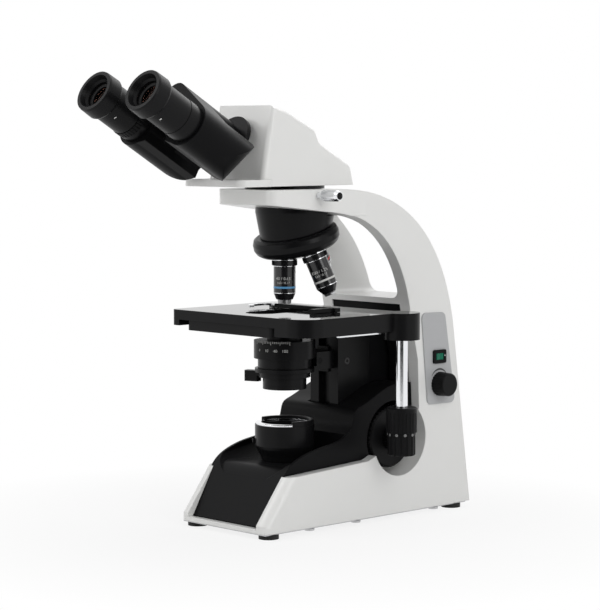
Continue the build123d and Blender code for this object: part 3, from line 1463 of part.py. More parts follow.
with BuildPart() as hinge_hub:
    turn(
        PIVOT,
        (0, HOUSING_FACE + 2),
        (PIVOT_R, HOUSING_FACE + 2),
        (PIVOT_R, HUB_START),
        (HUB_R, HUB_START),
        (HUB_R, DISC_START),
        (HINGE_DISC_R, DISC_START),
        (HINGE_DISC_R, DISC_START + HINGE_DISC_T),
        (HUB_R, DISC_START + HINGE_DISC_T),
        (HUB_R, HUB_END),
        (0, HUB_END),
    )
keep(hinge_hub, "hinge_hub")

# Eye tubes, right and left: prism housing, tube, eyepiece, eye lens; the left one has a diopter ring
for side, name in ((1, "right"), (-1, "left")):
    rim = RIM_CENTRE + RIGHT * side * EYE_HALF
    eye = turning(rim, EYE_BACK)
    ear_start = HOUSING_FACE if side == 1 else EAR_SPLIT + GAP / 2
    ear_length = HOUSING_L / 2 - GAP / 2
    outwards = RIGHT * side * cos(radians(STERN_TURN)) - EYE_UP * sin(radians(STERN_TURN))

    with BuildPart() as prism_housing:
        with BuildSketch(Plane(RIM_CENTRE + EYE_BACK * HOUSING_FACE, x_dir=RIGHT, z_dir=EYE_DIR)):
            with Locations((side * EYE_HALF, 0)):
                Circle(LOBE_R)
        extrude(amount=-HOUSING_L)
        with BuildSketch(Plane(RIM_CENTRE + EYE_BACK * ear_start, x_dir=RIGHT, z_dir=EYE_DIR)):
            with Locations((side * EYE_HALF, 0)):
                Circle(LOBE_R)
            with Locations((0, PIVOT_RISE)):
                Circle(EAR_R)
            make_hull()
        extrude(amount=-ear_length)
        # The underside runs flat to a sharp inner edge, and the outer lower side is rounded off at its rear
        with BuildSketch(Plane(RIM_CENTRE + EYE_BACK * HOUSING_FACE, x_dir=RIGHT, z_dir=EYE_DIR)):
            Polygon(
                (side * EYE_HALF, 0),
                (side * KEEL_X, 0),
                (side * KEEL_X, -KEEL_DEPTH),
                (side * EYE_HALF, -LOBE_R),
                align=None,
            )
        extrude(amount=-HOUSING_L)
        with BuildSketch(Plane(rim, x_dir=outwards, z_dir=outwards.cross(EYE_BACK))):
            with BuildLine():
                Polyline(
                    (LOBE_R, STERN_START),
                    (LOBE_R, HOUSING_FACE),
                    (-STERN_REACH, HOUSING_FACE),
                    (-STERN_REACH, HOUSING_END),
                    (STERN_END, HOUSING_END),
                )
                ThreePointArc(
                    (STERN_END, HOUSING_END),
                    (STERN_MIDDLE, STERN_START + STERN_L / 2),
                    (LOBE_R, STERN_START),
                )
            make_face()
        extrude(amount=BASE_HALF, both=True, mode=Mode.INTERSECT)
        turn(
            PIVOT,
            (0, HOUSING_FACE),
            (PIVOT_R + RUN, HOUSING_FACE),
            (PIVOT_R + RUN, HUB_END),
            (0, HUB_END),
            mode=Mode.SUBTRACT,
        )
        turn(
            eye,
            (0, HOUSING_FACE),
            (SPIGOT_R + SEAT, HOUSING_FACE),
            (SPIGOT_R + SEAT, HOUSING_FACE + SPIGOT_L + 4),
            (0, HOUSING_FACE + SPIGOT_L + 4),
            mode=Mode.SUBTRACT,
        )
    keep(prism_housing, f"{name}_prism_housing")

    tube_start = EYEPIECE_LENGTH + GAP if side == 1 else EYEPIECE_LENGTH + RING_H + GAP
    with BuildPart() as tube:
        turn(
            eye,
            (BARREL_R + SEAT, tube_start),
            (TUBE_R, tube_start),
            (TUBE_R, HOUSING_FACE),
            (SPIGOT_R, HOUSING_FACE),
            (SPIGOT_R, HOUSING_FACE + SPIGOT_L),
            (BARREL_R + SEAT, HOUSING_FACE + SPIGOT_L),
        )
    keep(tube, f"{name}_tube")

    with BuildPart() as eyepiece:
        turn(
            eye,
            (CUP_R - 4, 0),
            (CUP_LIP_R, 0),
            (CUP_R, 2),
            (CUP_BACK_R, CUP_LENGTH - 2),
            (CUP_BACK_R - 1, CUP_LENGTH),
            (EYEPIECE_R, CUP_LENGTH + 0.5),
            (EYEPIECE_R, EYEPIECE_LENGTH),
            (BARREL_R, EYEPIECE_LENGTH),
            (BARREL_R, HOUSING_FACE + SPIGOT_L - 2),
            (BARREL_R - 3, HOUSING_FACE + SPIGOT_L - 2),
            (BARREL_R - 3, 18),
            (EYE_LENS_R, 18),
            (EYE_LENS_R, 11),
            (EYE_LENS_R + 2.5, 10),
            (EYE_LENS_R + 2.5, 7),
            (CUP_R - 6, 5),
        )
    keep(eyepiece, f"{name}_eyepiece")

    with BuildPart() as eye_lens:
        lens(turning(rim + EYE_BACK * 17, EYE_DIR), EYE_LENS_R - SEAT, 0, 4, 2.0)
    keep(eye_lens, f"{name}_eye_lens")

with BuildPart() as left_diopter_ring:
    left_eye = turning(RIM_CENTRE - RIGHT * EYE_HALF, EYE_BACK)
    turn(
        left_eye,
        (BARREL_R + RUN, EYEPIECE_LENGTH + GAP),
        (RING_R, EYEPIECE_LENGTH + GAP),
        (RING_R, EYEPIECE_LENGTH + RING_H),
        (BARREL_R + RUN, EYEPIECE_LENGTH + RING_H),
    )
    ribs(left_eye, RING_R + 0.4, EYEPIECE_LENGTH, EYEPIECE_LENGTH + RING_H + 1, 36, 0.9)
keep(left_diopter_ring, "left_diopter_ring")
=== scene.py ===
"""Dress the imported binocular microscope: finishes, small fittings, studio and camera.

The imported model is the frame. Places are written in millimetres from the optical axis and from
the table, as the maker's drawings give them, and axis_point turns them into the frame's metres.
"""
import logging
from collections.abc import Callable
from dataclasses import dataclass, replace
from enum import Enum
from math import cos, radians, sin, tau

import bmesh
import bpy
from mathutils import Matrix, Vector


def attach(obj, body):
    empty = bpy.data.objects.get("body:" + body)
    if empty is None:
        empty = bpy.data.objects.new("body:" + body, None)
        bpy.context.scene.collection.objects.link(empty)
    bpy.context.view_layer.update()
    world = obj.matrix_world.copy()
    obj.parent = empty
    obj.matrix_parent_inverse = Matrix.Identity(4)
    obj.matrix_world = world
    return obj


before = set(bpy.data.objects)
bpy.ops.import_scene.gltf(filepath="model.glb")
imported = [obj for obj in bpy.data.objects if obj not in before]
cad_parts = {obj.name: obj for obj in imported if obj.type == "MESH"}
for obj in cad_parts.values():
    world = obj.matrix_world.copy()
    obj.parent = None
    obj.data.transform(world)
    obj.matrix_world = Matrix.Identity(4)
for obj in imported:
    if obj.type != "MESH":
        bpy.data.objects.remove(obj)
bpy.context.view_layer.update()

LOG = logging.getLogger("microscope")
MM = 0.001
AXIS_X = -7.25
AXIS_Y = 7.5
X_WAY = Vector((1.0, 0.0, 0.0))
Y_WAY = Vector((0.0, 1.0, 0.0))
Z_WAY = Vector((0.0, 0.0, 1.0))
READER = Vector((0.64, -0.77, 0.0))    # way that the objectives' numbers face
FILL_ROOT = 0.2     # how deep a filled mark starts below its surface
FILL_RISE = 0.06    # how far it stands out
Outline = list[tuple[float, float]]


def axis_point(x: float, y: float, z: float) -> Vector:
    """A place in the frame.

    Args:
        x: millimetres to the user's right of the optical axis.
        y: millimetres from the optical axis towards the arm.
        z: millimetres above the table.

    Returns:
        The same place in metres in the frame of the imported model.
    """
    return Vector((AXIS_X + x, AXIS_Y + y, z)) * MM


class Wire:
    """One output of a shader node, which takes part in Python expressions."""

    def __init__(self, tree: bpy.types.NodeTree, socket: bpy.types.NodeSocket) -> None:
        """Keep the tree and the socket."""
        self.tree = tree
        self.socket = socket

    def maths(self, operation: str, *terms: "Wire | float") -> "Wire":
        """Add a Math node.

        Args:
            operation: the node's operation.
            terms: values or wires for its inputs, in order.

        Returns:
            The node's result.
        """
        node = self.tree.nodes.new("ShaderNodeMath")
        node.operation = operation
        for entry, term in zip(node.inputs, terms):
            join(self.tree, entry, term)
        return Wire(self.tree, node.outputs[0])

    def __add__(self, other: "Wire | float") -> "Wire":
        """self + other"""
        return self.maths("ADD", self, other)

    __radd__ = __add__

    def __sub__(self, other: "Wire | float") -> "Wire":
        """self - other"""
        return self.maths("SUBTRACT", self, other)

    def __mul__(self, other: "Wire | float") -> "Wire":
        """self * other"""
        return self.maths("MULTIPLY", self, other)

    __rmul__ = __mul__

    def __truediv__(self, other: "Wire | float") -> "Wire":
        """self / other"""
        return self.maths("DIVIDE", self, other)

    def __or__(self, other: "Wire | float") -> "Wire":
        """The larger of the two"""
        return self.maths("MAXIMUM", self, other)

    def sine(self) -> "Wire":
        """The sine of a value in radians."""
        return self.maths("SINE", self)


def join(tree: bpy.types.NodeTree, entry: bpy.types.NodeSocket, value: object) -> None:
    """Feed a node's input.

    Args:
        tree: the node tree.
        entry: the input socket.
        value: a wire to link, or a constant to set.
    """
    if isinstance(value, Wire):
        tree.links.new(value.socket, entry)
    else:
        entry.default_value = value


class Graph:
    """A node tree that is written line by line."""

    def __init__(self, tree: bpy.types.NodeTree) -> None:
        """Empty the tree."""
        self.tree = tree
        tree.nodes.clear()

    def node(self, kind: str, settings: dict | None = None, out: object = 0, **links: object) -> Wire:
        """Add a node.

        Args:
            kind: the node's type without its ShaderNode prefix.
            settings: attributes that are set first.
            out: name or number of the wanted output.
            links: values or wires for the inputs, with _ for a space; in_2 is input 2.

        Returns:
            The wanted output.
        """
        node = self.tree.nodes.new("ShaderNode" + kind)
        for name, value in (settings or {}).items():
            setattr(node, name, value)
        for name, value in links.items():
            key = int(name[3:]) if name.startswith("in_") else name.replace("_", " ")
            join(self.tree, node.inputs[key], value)
        return Wire(self.tree, node.outputs[out])

    def place(self) -> Wire:
        """The place on the object in metres, in the object's own axes."""
        return self.node("TexCoord", out="Object")

    def speckle(self, size_mm: float, detail: float = 2.0) -> Wire:
        """Even grain from 0 to 1.

        Args:
            size_mm: size of a grain.
            detail: octaves of finer grain.

        Returns:
            The grain's value.
        """
        return self.node("TexNoise", Vector=self.place(), Scale=1.0 / (size_mm * MM), Detail=detail)

    def blend(self, amount: Wire, below: object, above: object) -> Wire:
        """Mix two colours by an amount from 0 to 1.

        Args:
            amount: 0 gives below and 1 gives above.
            below: colour or wire.
            above: colour or wire.

        Returns:
            The mixed colour.
        """
        settings = {"data_type": "RGBA"}
        return self.node("Mix", settings, out=2, in_0=amount, in_6=below, in_7=above)

    def end(self, shader: Wire) -> None:
        """Use a shader as the surface."""
        output = self.tree.nodes.new("ShaderNodeOutputMaterial")
        self.tree.links.new(shader.socket, output.inputs["Surface"])


Colour = tuple[float, float, float]


def rgba(colour: Colour, factor: float = 1.0) -> tuple[float, float, float, float]:
    """A colour with its alpha, made lighter or darker by a factor."""
    return (*(min(1.0, c * factor) for c in colour), 1.0)


@dataclass(frozen=True)
class Finish:
    """A paint, moulding, rubber or metal with a fine even grain.

    The grain gives a little colour change, roughness change and bump.
    """

    name: str
    colour: Colour
    roughness: float
    grain_mm: float = 0.6
    grain_depth_mm: float = 0.02
    mottle: float = 0.06
    gloss_change: float = 0.08
    metallic: float = 0.0
    coat: float = 0.0
    coat_roughness: float = 0.1
    specular: float = 0.5
    edge_mm: float = 0.5

    def material(self) -> bpy.types.Material:
        """The material of this finish, made once.

        Returns:
            The material.
        """
        found = bpy.data.materials.get(self.name)
        if found:
            return found
        made = bpy.data.materials.new(self.name)
        made.use_nodes = True
        graph = Graph(made.node_tree)
        grain = graph.speckle(self.grain_mm)
        patches = graph.speckle(38.0, 3.0)
        shade = graph.blend(patches, rgba(self.colour, 1 - self.mottle), rgba(self.colour, 1 + self.mottle))
        rough = self.roughness + self.gloss_change * (patches - 0.5)
        rough = rough + 0.5 * self.gloss_change * (grain - 0.5)
        normal = self.relief(graph, grain)
        graph.end(self.shader(graph, shade, rough, normal))
        return made

    def relief(self, graph: Graph, grain: Wire) -> Wire:
        """The bumped normal.

        Args:
            graph: the material's graph.
            grain: height from 0 to 1.

        Returns:
            The normal.
        """
        depth = self.grain_depth_mm * MM
        return graph.node("Bump", Distance=depth, Height=grain, Normal=self.worn_edge(graph))

    def worn_edge(self, graph: Graph) -> Wire:
        """The normal with its sharp edges rounded a little."""
        return graph.node("Bevel", Radius=self.edge_mm * MM)

    def shader(self, graph: Graph, shade: Wire, rough: Wire, normal: Wire) -> Wire:
        """The surface shader.

        Args:
            graph: the material's graph.
            shade: base colour.
            rough: roughness.
            normal: bumped normal.

        Returns:
            The shader.
        """
        return graph.node(
            "BsdfPrincipled",
            Base_Color=shade,
            Roughness=rough,
            Metallic=self.metallic,
            Normal=normal,
            Coat_Weight=self.coat,
            Coat_Roughness=self.coat_roughness,
            Specular_IOR_Level=self.specular,
        )


class Lathe(Enum):
    """The axis that a turned piece was made about."""

    X = 0
    Z = 2


@dataclass(frozen=True)
class Turned(Finish):
    """Metal with the fine lines of the lathe along its axis."""

    axis: Lathe = Lathe.Z
    pitch_mm: float = 0.35
    metallic: float = 1.0

    def relief(self, graph: Graph, grain: Wire) -> Wire:
        """Lathe lines and a little grain as a bumped normal.

        Args:
            graph: the material's graph.
            grain: height from 0 to 1.

        Returns:
            The normal.
        """
        along = graph.node("SeparateXYZ", out=self.axis.value, Vector=graph.place())
        lines = (along * (tau / (self.pitch_mm * MM))).sine() * 0.5 + 0.5
        height = lines * 0.5 + grain * 0.5
        depth = self.grain_depth_mm * MM
        return graph.node("Bump", Distance=depth, Height=height, Normal=self.worn_edge(graph))


@dataclass(frozen=True)
class Optic:
    """Clear glass with the tint of its coating."""

    name: str
    coating: Colour
    roughness: float = 0.02

    def material(self) -> bpy.types.Material:
        """The material of this glass, made once.

        Returns:
            The material.
        """
        found = bpy.data.materials.get(self.name)
        if found:
            return found
        made = bpy.data.materials.new(self.name)
        made.use_nodes = True
        graph = Graph(made.node_tree)
        haze = graph.speckle(6.0, 3.0)
        shader = graph.node(
            "BsdfPrincipled",
            Base_Color=graph.blend(haze, rgba(self.coating, 0.9), rgba(self.coating)),
            Roughness=self.roughness + 0.02 * haze,
            Transmission_Weight=1.0,
            IOR=1.52,
            Specular_Tint=rgba(self.coating),
        )
        graph.end(shader)
        return made


@dataclass(frozen=True)
class Lit:
    """A translucent moulding with a lamp behind it."""

    name: str
    colour: Colour
    glow: Colour
    strength: float

    def material(self) -> bpy.types.Material:
        """The material of this lit moulding, made once.

        Returns:
            The material.
        """
        found = bpy.data.materials.get(self.name)
        if found:
            return found
        made = bpy.data.materials.new(self.name)
        made.use_nodes = True
        graph = Graph(made.node_tree)
        cloud = graph.speckle(7.0, 2.0)
        shader = graph.node(
            "BsdfPrincipled",
            Base_Color=graph.blend(cloud, rgba(self.colour, 0.8), rgba(self.colour, 1.15)),
            Roughness=0.22 + 0.1 * cloud,
            Specular_IOR_Level=0.2,
            Emission_Color=graph.blend(cloud, rgba(self.glow, 0.75), rgba(self.glow)),
            Emission_Strength=self.strength,
        )
        graph.end(shader)
        return made


ENAMEL = Finish("satin_enamel", (0.85, 0.85, 0.835), 0.30, grain_mm=1.1, grain_depth_mm=0.03, mottle=0.012,
                gloss_change=0.05, coat=0.2, coat_roughness=0.12, edge_mm=1.2)
DEEP_BLACK = (0.006, 0.006, 0.0065)
COVER = Finish("black_moulding", DEEP_BLACK, 0.36, grain_mm=0.5, grain_depth_mm=0.03, mottle=0.15,
               specular=0.06, edge_mm=1.2)
BLACK = Finish("black_lacquer", DEEP_BLACK, 0.30, grain_mm=0.45, grain_depth_mm=0.015, mottle=0.15,
               specular=0.12)
TOP = Finish("stage_lacquer", DEEP_BLACK, 0.05, grain_mm=0.9, grain_depth_mm=0.0015, mottle=0.15,
             gloss_change=0.03, specular=0.7)
GRIP = Finish("knob_grip", DEEP_BLACK, 0.42, grain_mm=0.4, grain_depth_mm=0.03, mottle=0.2,
              specular=0.1)
RUBBER = Finish("black_rubber", (0.014, 0.014, 0.014), 0.62, grain_mm=0.5, grain_depth_mm=0.05, mottle=0.25,
                specular=0.25)
EYEPIECE = Finish("eyepiece_lacquer", (0.007, 0.007, 0.0075), 0.36, grain_mm=0.4, grain_depth_mm=0.02,
                  mottle=0.2, specular=0.12)
PANEL = Finish("panel_paint", (0.47, 0.475, 0.485), 0.42, grain_mm=0.35, grain_depth_mm=0.02, mottle=0.03)
CHROME = Turned("turned_chrome", (0.83, 0.84, 0.86), 0.12, grain_mm=0.4, grain_depth_mm=0.004, mottle=0.02)
CHROME_X = replace(CHROME, name="turned_chrome_x", axis=Lathe.X)
STEEL = Turned("plain_steel", (0.52, 0.52, 0.53), 0.30, grain_mm=0.4, grain_depth_mm=0.008, mottle=0.05)
BRASS = Turned("plain_brass", (0.70, 0.52, 0.25), 0.28, grain_mm=0.4, grain_depth_mm=0.008, mottle=0.05)
ALLOY = Turned("bare_alloy", (0.62, 0.62, 0.63), 0.36, grain_mm=0.4, grain_depth_mm=0.008, mottle=0.05)
CLEAR = Optic("clear_lens", (0.94, 0.97, 0.98))
COATED = Optic("coated_eye_lens", (0.95, 0.62, 0.52))
GREEN = Lit("lit_green", (0.0, 0.07, 0.04), (0.0, 0.20, 0.11), 0.3)

BARREL = Finish("barrel_lacquer", (0.010, 0.010, 0.011), 0.20, grain_mm=0.4, grain_depth_mm=0.004,
                mottle=0.2, specular=0.4, coat=0.3)
SCREW = Finish("dark_screw", (0.02, 0.02, 0.021), 0.34, grain_mm=0.3, grain_depth_mm=0.01, mottle=0.2,
               specular=0.4, edge_mm=0.2)
PRINT = Finish("dark_print", (0.03, 0.03, 0.032), 0.5, grain_mm=0.3, grain_depth_mm=0.004, mottle=0.1)
WHITE_FILL = Finish("white_fill", (0.72, 0.72, 0.70), 0.5, grain_mm=0.2, grain_depth_mm=0.01, mottle=0.05)
# Pale grey for the domes on the lower stage knob: a painted glint, not a real filled mark.
GLINT_GREY = Finish("painted_glint_grey", (0.20, 0.20, 0.20), 0.45, grain_mm=0.2, grain_depth_mm=0.01, mottle=0.05)
BLUE_BAND = Finish("blue_band", (0.10, 0.34, 0.62), 0.35, grain_mm=0.2, grain_depth_mm=0.005, mottle=0.05)
YELLOW_BAND = replace(BLUE_BAND, name="yellow_band", colour=(0.78, 0.55, 0.05))
RED_BAND = replace(BLUE_BAND, name="red_band", colour=(0.60, 0.03, 0.03))


def paint(finish: "Finish | Optic | Lit", *names: str) -> None:
    """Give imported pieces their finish.

    Args:
        finish: the finish.
        names: the pieces.
    """
    for name in names:
        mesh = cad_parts[name].data
        mesh.materials.clear()
        mesh.materials.append(finish.material())
        LOG.info("finish %s on %s", finish.name, name)


def paint_faces(finish: Finish, name: str, chosen: Callable[[Vector, Vector], bool]) -> None:
    """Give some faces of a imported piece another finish.

    Args:
        finish: the finish.
        name: the piece.
        chosen: takes the middle and the normal of a face in the frame, and is true where it applies.
    """
    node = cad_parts[name]
    node.data.materials.append(finish.material())
    slot = len(node.data.materials) - 1
    to_frame = node.matrix_world
    turn = to_frame.to_3x3()
    for face in node.data.polygons:
        if chosen(to_frame @ face.center, (turn @ face.normal).normalized()):
            face.material_index = slot


def seat(at: Vector, along: Vector, across: Vector = X_WAY) -> Matrix:
    """Axes that a fitting is made in.

    Args:
        at: their origin in the frame.
        along: direction of their Z axis.
        across: direction that their X axis follows as nearly as it can.

    Returns:
        The axes, with a millimetre as the unit.
    """
    up = along.normalized()
    side = up.cross(across).normalized()
    turn = Matrix((side.cross(up), side, up)).transposed().to_4x4()
    return Matrix.Translation(at) @ turn @ Matrix.Scale(MM, 4)


class Blank:
    """A fitting in the making: a mesh in millimetres in the axes of its seat."""

    def __init__(self, place: Matrix) -> None:
        """Start with an empty mesh."""
        self.place = place
        self.mesh = bmesh.new()

    def turn(self, profile: Outline, start: float = 0.0, sweep: float = 360.0, sides: int = 72) -> "Blank":
        """Turn a closed profile about the Z axis.

        Args:
            profile: corners as radius and height, in order.
            start: angle of the first end, in degrees.
            sweep: angle that is turned through, in degrees.
            sides: flats along the sweep.

        Returns:
            This blank.
        """
        whole = sweep >= 360.0
        count = sides if whole else sides + 1
        rings = []
        for step in range(count):
            angle = radians(start + sweep * step / sides)
            corners = [(r * cos(angle), r * sin(angle), h) for r, h in profile]
            rings.append([self.mesh.verts.new(corner) for corner in corners])
        for step in range(sides):
            here, there = rings[step], rings[(step + 1) % count]
            for i in range(len(profile)):
                j = (i + 1) % len(profile)
                self.mesh.faces.new((here[i], there[i], there[j], here[j]))
        if not whole:
            self.mesh.faces.new(rings[0][::-1])
            self.mesh.faces.new(rings[-1])
        return self

    def slab(self, outline: Outline, low: float, high: float) -> "Blank":
        """Stand a flat outline up along the Z axis.

        Args:
            outline: corners in the XY plane, in order.
            low: height of the foot.
            high: height of the top.

        Returns:
            This blank.
        """
        foot = [self.mesh.verts.new((x, y, low)) for x, y in outline]
        top = [self.mesh.verts.new((x, y, high)) for x, y in outline]
        self.mesh.faces.new(foot[::-1])
        self.mesh.faces.new(top)
        for i in range(len(outline)):
            j = (i + 1) % len(outline)
            self.mesh.faces.new((foot[i], foot[j], top[j], top[i]))
        return self

    def ribs(self, radius: float, low: float, high: float, count: int, depth: float) -> "Blank":
        """Stand fine three-sided ribs round the Z axis.

        Args:
            radius: where the ribs stand.
            low: height of their feet.
            high: height of their tops.
            count: number of ribs.
            depth: how far they stand out.

        Returns:
            This blank.
        """
        pitch = tau / count
        half = pitch / 4
        for step in range(count):
            angle = pitch * step
            corners = (
                (radius * cos(angle - half), radius * sin(angle - half)),
                ((radius + depth) * cos(angle), (radius + depth) * sin(angle)),
                (radius * cos(angle + half), radius * sin(angle + half)),
            )
            self.slab(corners, low, high)
        return self

    def fit(self, name: str, body: str, finish: "Finish | Lit") -> bpy.types.Object:
        """Set the fitting in its place.

        Args:
            name: its name.
            body: the moving body that it goes with.
            finish: its finish.

        Returns:
            The new object.
        """
        bmesh.ops.transform(self.mesh, matrix=self.place, verts=self.mesh.verts)
        bmesh.ops.recalc_face_normals(self.mesh, faces=self.mesh.faces)
        data = bpy.data.meshes.new(name)
        self.mesh.to_mesh(data)
        self.mesh.free()
        data.shade_smooth()
        data.set_sharp_from_angle(angle=radians(35))
        piece = bpy.data.objects.new(name, data)
        bpy.context.scene.collection.objects.link(piece)
        data.materials.append(finish.material())
        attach(piece, body)
        LOG.info("piece %s on %s", name, body)
        return piece


def arc(radius: float, start: float, sweep: float, steps: int = 24) -> Outline:
    """Points along an arc, with angles in degrees."""
    angles = [radians(start + sweep * i / steps) for i in range(steps + 1)]
    return [(radius * cos(a), radius * sin(a)) for a in angles]


def hoop(inner: float, outer: float, low: float, high: float) -> Outline:
    """The profile of a plain ring between two radii and two heights."""
    return [(inner, low), (outer, low), (outer, high), (inner, high)]


def number(text: str, place: Matrix, size: float, name: str, body: str, finish: Finish) -> None:
    """Engrave and fill a plain number.

    Args:
        text: digits.
        place: axes of the number, which stands in their XY plane.
        size: height of a digit in millimetres.
        name: name of the piece.
        body: the moving body that it goes with.
        finish: its finish.
    """
    curve = bpy.data.curves.new(name, "FONT")
    curve.body = text
    curve.size = size * 1.4
    curve.extrude = 0.04
    curve.align_x = "CENTER"
    curve.align_y = "CENTER"
    curve.resolution_u = 3
    drawn = bpy.data.objects.new(name + "_drawn", curve)
    bpy.context.scene.collection.objects.link(drawn)
    mesh = bpy.data.meshes.new_from_object(drawn)
    bpy.data.objects.remove(drawn)
    mesh.transform(place)
    mesh.name = name
    piece = bpy.data.objects.new(name, mesh)
    bpy.context.scene.collection.objects.link(piece)
    mesh.materials.clear()
    mesh.materials.append(finish.material())
    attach(piece, body)


@dataclass
class Stand:
    """White casting with its black covers, feet and bottom plate."""

    def build(self) -> None:
        """Dress the casting and its covers."""
        paint(ENAMEL, "stand_casting")
        paint(COVER, "base_cover", "column_cover", "power_inlet")
        paint(RUBBER, "feet")
        paint(STEEL, "bottom_plate", "plate_screws")


@dataclass
class LightPort:
    """Field lens bowl on the base, with the half collar that keeps a filter in."""

    radius: float = 30.0
    top: float = 101.0
    collar_in: float = 25.5
    collar_out: float = 29.4
    collar_rise: float = 5.0
    collar_round: float = 0.8
    collar_start: float = -28.0
    collar_sweep: float = 217.0
    screw_angle: float = 232.0
    screw_z: float = 84.0

    def build(self) -> None:
        """Dress the port, then make its collar and its clamp screw."""
        paint(BLACK, "light_port")
        paint(CHROME, "port_ring")
        paint(CLEAR, "field_lens")
        paint(ALLOY, "lamp_module")
        self.collar()
        self.screw()

    def collar(self) -> None:
        """Make the half collar with a rounded top."""
        low = self.top
        high = low + self.collar_rise
        inner, outer, bend = self.collar_in, self.collar_out, self.collar_round
        profile = [
            (inner, low),
            (outer, low),
            (outer, high - bend),
            (outer - bend, high),
            (inner + bend, high),
            (inner, high - bend),
        ]
        blank = Blank(seat(axis_point(0, 0, 0), Z_WAY))
        blank.turn(profile, self.collar_start, self.collar_sweep)
        blank.fit("port_collar", "stand", BLACK)

    def screw(self) -> None:
        """Make the small screw in the side of the bowl."""
        angle = radians(self.screw_angle)
        outwards = Vector((cos(angle), sin(angle), 0.0))
        start = axis_point(0, 0, self.screw_z) + outwards * (self.radius - 2.0) * MM
        blank = Blank(seat(start, outwards, Z_WAY))
        blank.turn([(0.6, 0.0), (2.4, 0.0), (2.4, 4.2), (1.9, 4.7), (0.6, 4.7)], sides=32)
        blank.ribs(2.35, 1.6, 4.2, 20, 0.35)
        blank.fit("port_screw", "stand", BLACK)


@dataclass
class Controls:
    """Grey panel on the right leg with the lit switch and the dimmer."""

    face: float = 64.6
    dimmer: tuple[float, float] = (160.0, 134.0)
    arc_radius: float = 14.4
    arc_start: float = 142.0
    arc_sweep: float = -100.0
    bezel_face: float = 66.6
    dot: tuple[float, float] = (166.2, 163.3)
    dot_radius: float = 0.9

    def build(self) -> None:
        """Dress the panel, then print its arc and the dot on the switch."""
        paint(PANEL, "control_panel")
        paint(COVER, "switch_bezel", "dimmer_pot")
        paint(GRIP, "dimmer_knob")
        paint(GREEN, "switch_rocker")
        self.print_arc()
        blank = Blank(seat(axis_point(self.bezel_face, *self.dot), X_WAY, Y_WAY))
        blank.slab(arc(self.dot_radius, 0.0, 345.0, 23), 0.0, 0.06)
        blank.fit("switch_dot", "stand", PANEL)

    def print_arc(self) -> None:
        """Print the arc over the knob, thick in the middle."""
        inner = arc(self.arc_radius, self.arc_start, self.arc_sweep)
        swell = [1.02 + 0.11 * sin(tau * i / 48) for i in range(25)]
        grown = [(u * rise, v * rise) for (u, v), rise in zip(inner, swell)]
        blank = Blank(seat(axis_point(self.face, *self.dimmer), X_WAY, Y_WAY))
        for i in range(24):
            strip = [inner[i], grown[i], grown[i + 1], inner[i + 1]]
            blank.slab(strip, 0.0, 0.08)
        blank.fit("dimmer_arc", "stand", PRINT)


@dataclass
class Focus:
    """Coaxial focus drive, its guide and the carriage."""

    screw_x: float = 20.0
    screw: tuple[float, float] = (69.0, 161.0)

    def build(self) -> None:
        """Dress the drive, then set the screw in the side of the carriage."""
        paint(BLACK, "focus_carriage")
        paint(GRIP, "coarse_knob_right", "coarse_knob_left", "fine_knob_right", "fine_knob_left")
        paint(STEEL, "focus_rail", "coarse_shaft", "fine_shaft")
        paint(BRASS, "focus_bushes", "focus_rack")
        blank = Blank(seat(axis_point(self.screw_x, *self.screw), X_WAY, Y_WAY))
        blank.turn([(1.6, -0.4), (1.8, 0.4), (3.2, 0.4), (3.6, 0.0), (3.6, -0.4)], sides=40)
        blank.fit("carriage_screw", "carriage", SCREW)


@dataclass
class Stage:
    """Mechanical stage with its coaxial drive and slide holder."""

    top: float = 215.0
    skirt_foot: float = 197.0
    rack: tuple[float, float, float, float] = (86.0, -12.0, 90.0, 50.0)
    rack_depth: float = 2.4
    drive: tuple[float, float] = (94.0, 72.0)
    # Ring radius, height, count and first angle of the painted glints on the lower knob.
    glint_ring: float = 13.8
    glint_height: float = 93.0
    glint_count: int = 10
    glint_start: float = -67.2

    def build(self) -> None:
        """Dress the plates, the drive and the holder, then add the bright strip and the painted glints on
        the lower knob.
        """
        paint(BLACK, "stage_base_plate", "stage_plate", "slide_holder")
        level = (self.top - 0.3) * MM
        paint_faces(TOP, "stage_plate", lambda middle, normal: normal.z > 0.9 and middle.z > level)
        paint(STEEL, "stage_rails")
        paint(CHROME, "drive_tube", "holder_finger")
        paint(GRIP, "y_knob", "x_knob")
        self.guide_strip()
        self.painted_knob_glints()

    def guide_strip(self) -> None:
        """Set the bright strip under the right end of the plate."""
        left, front, right, rear = self.rack
        blank = Blank(seat(axis_point(0, 0, self.skirt_foot), Z_WAY))
        blank.slab([(left, front), (right, front), (right, rear), (left, rear)], -self.rack_depth, 0.0)
        blank.fit("stage_strip", "stage", CHROME)

    def painted_knob_glints(self) -> None:
        """Set pale grey domes round the top of the lower knob: painted glints that stand in for light
        caught on its rib tops.
        """
        for count in range(self.glint_count):
            angle = radians(self.glint_start + 360.0 * count / self.glint_count)
            outwards = Vector((cos(angle), sin(angle), 0.0))
            at = axis_point(*self.drive, self.glint_height) + outwards * self.glint_ring * MM
            blank = Blank(seat(at, outwards, Z_WAY))
            blank.turn([(0.2, 0.0), (1.6, 0.0), (1.4, 0.35), (0.9, 0.55), (0.2, 0.6)], sides=20)
            # Each pale grey dome is a painted glint for the light on a rib top.
            blank.fit(f"knob_painted_glint_{count}", "stage_x_knob", GLINT_GREY)


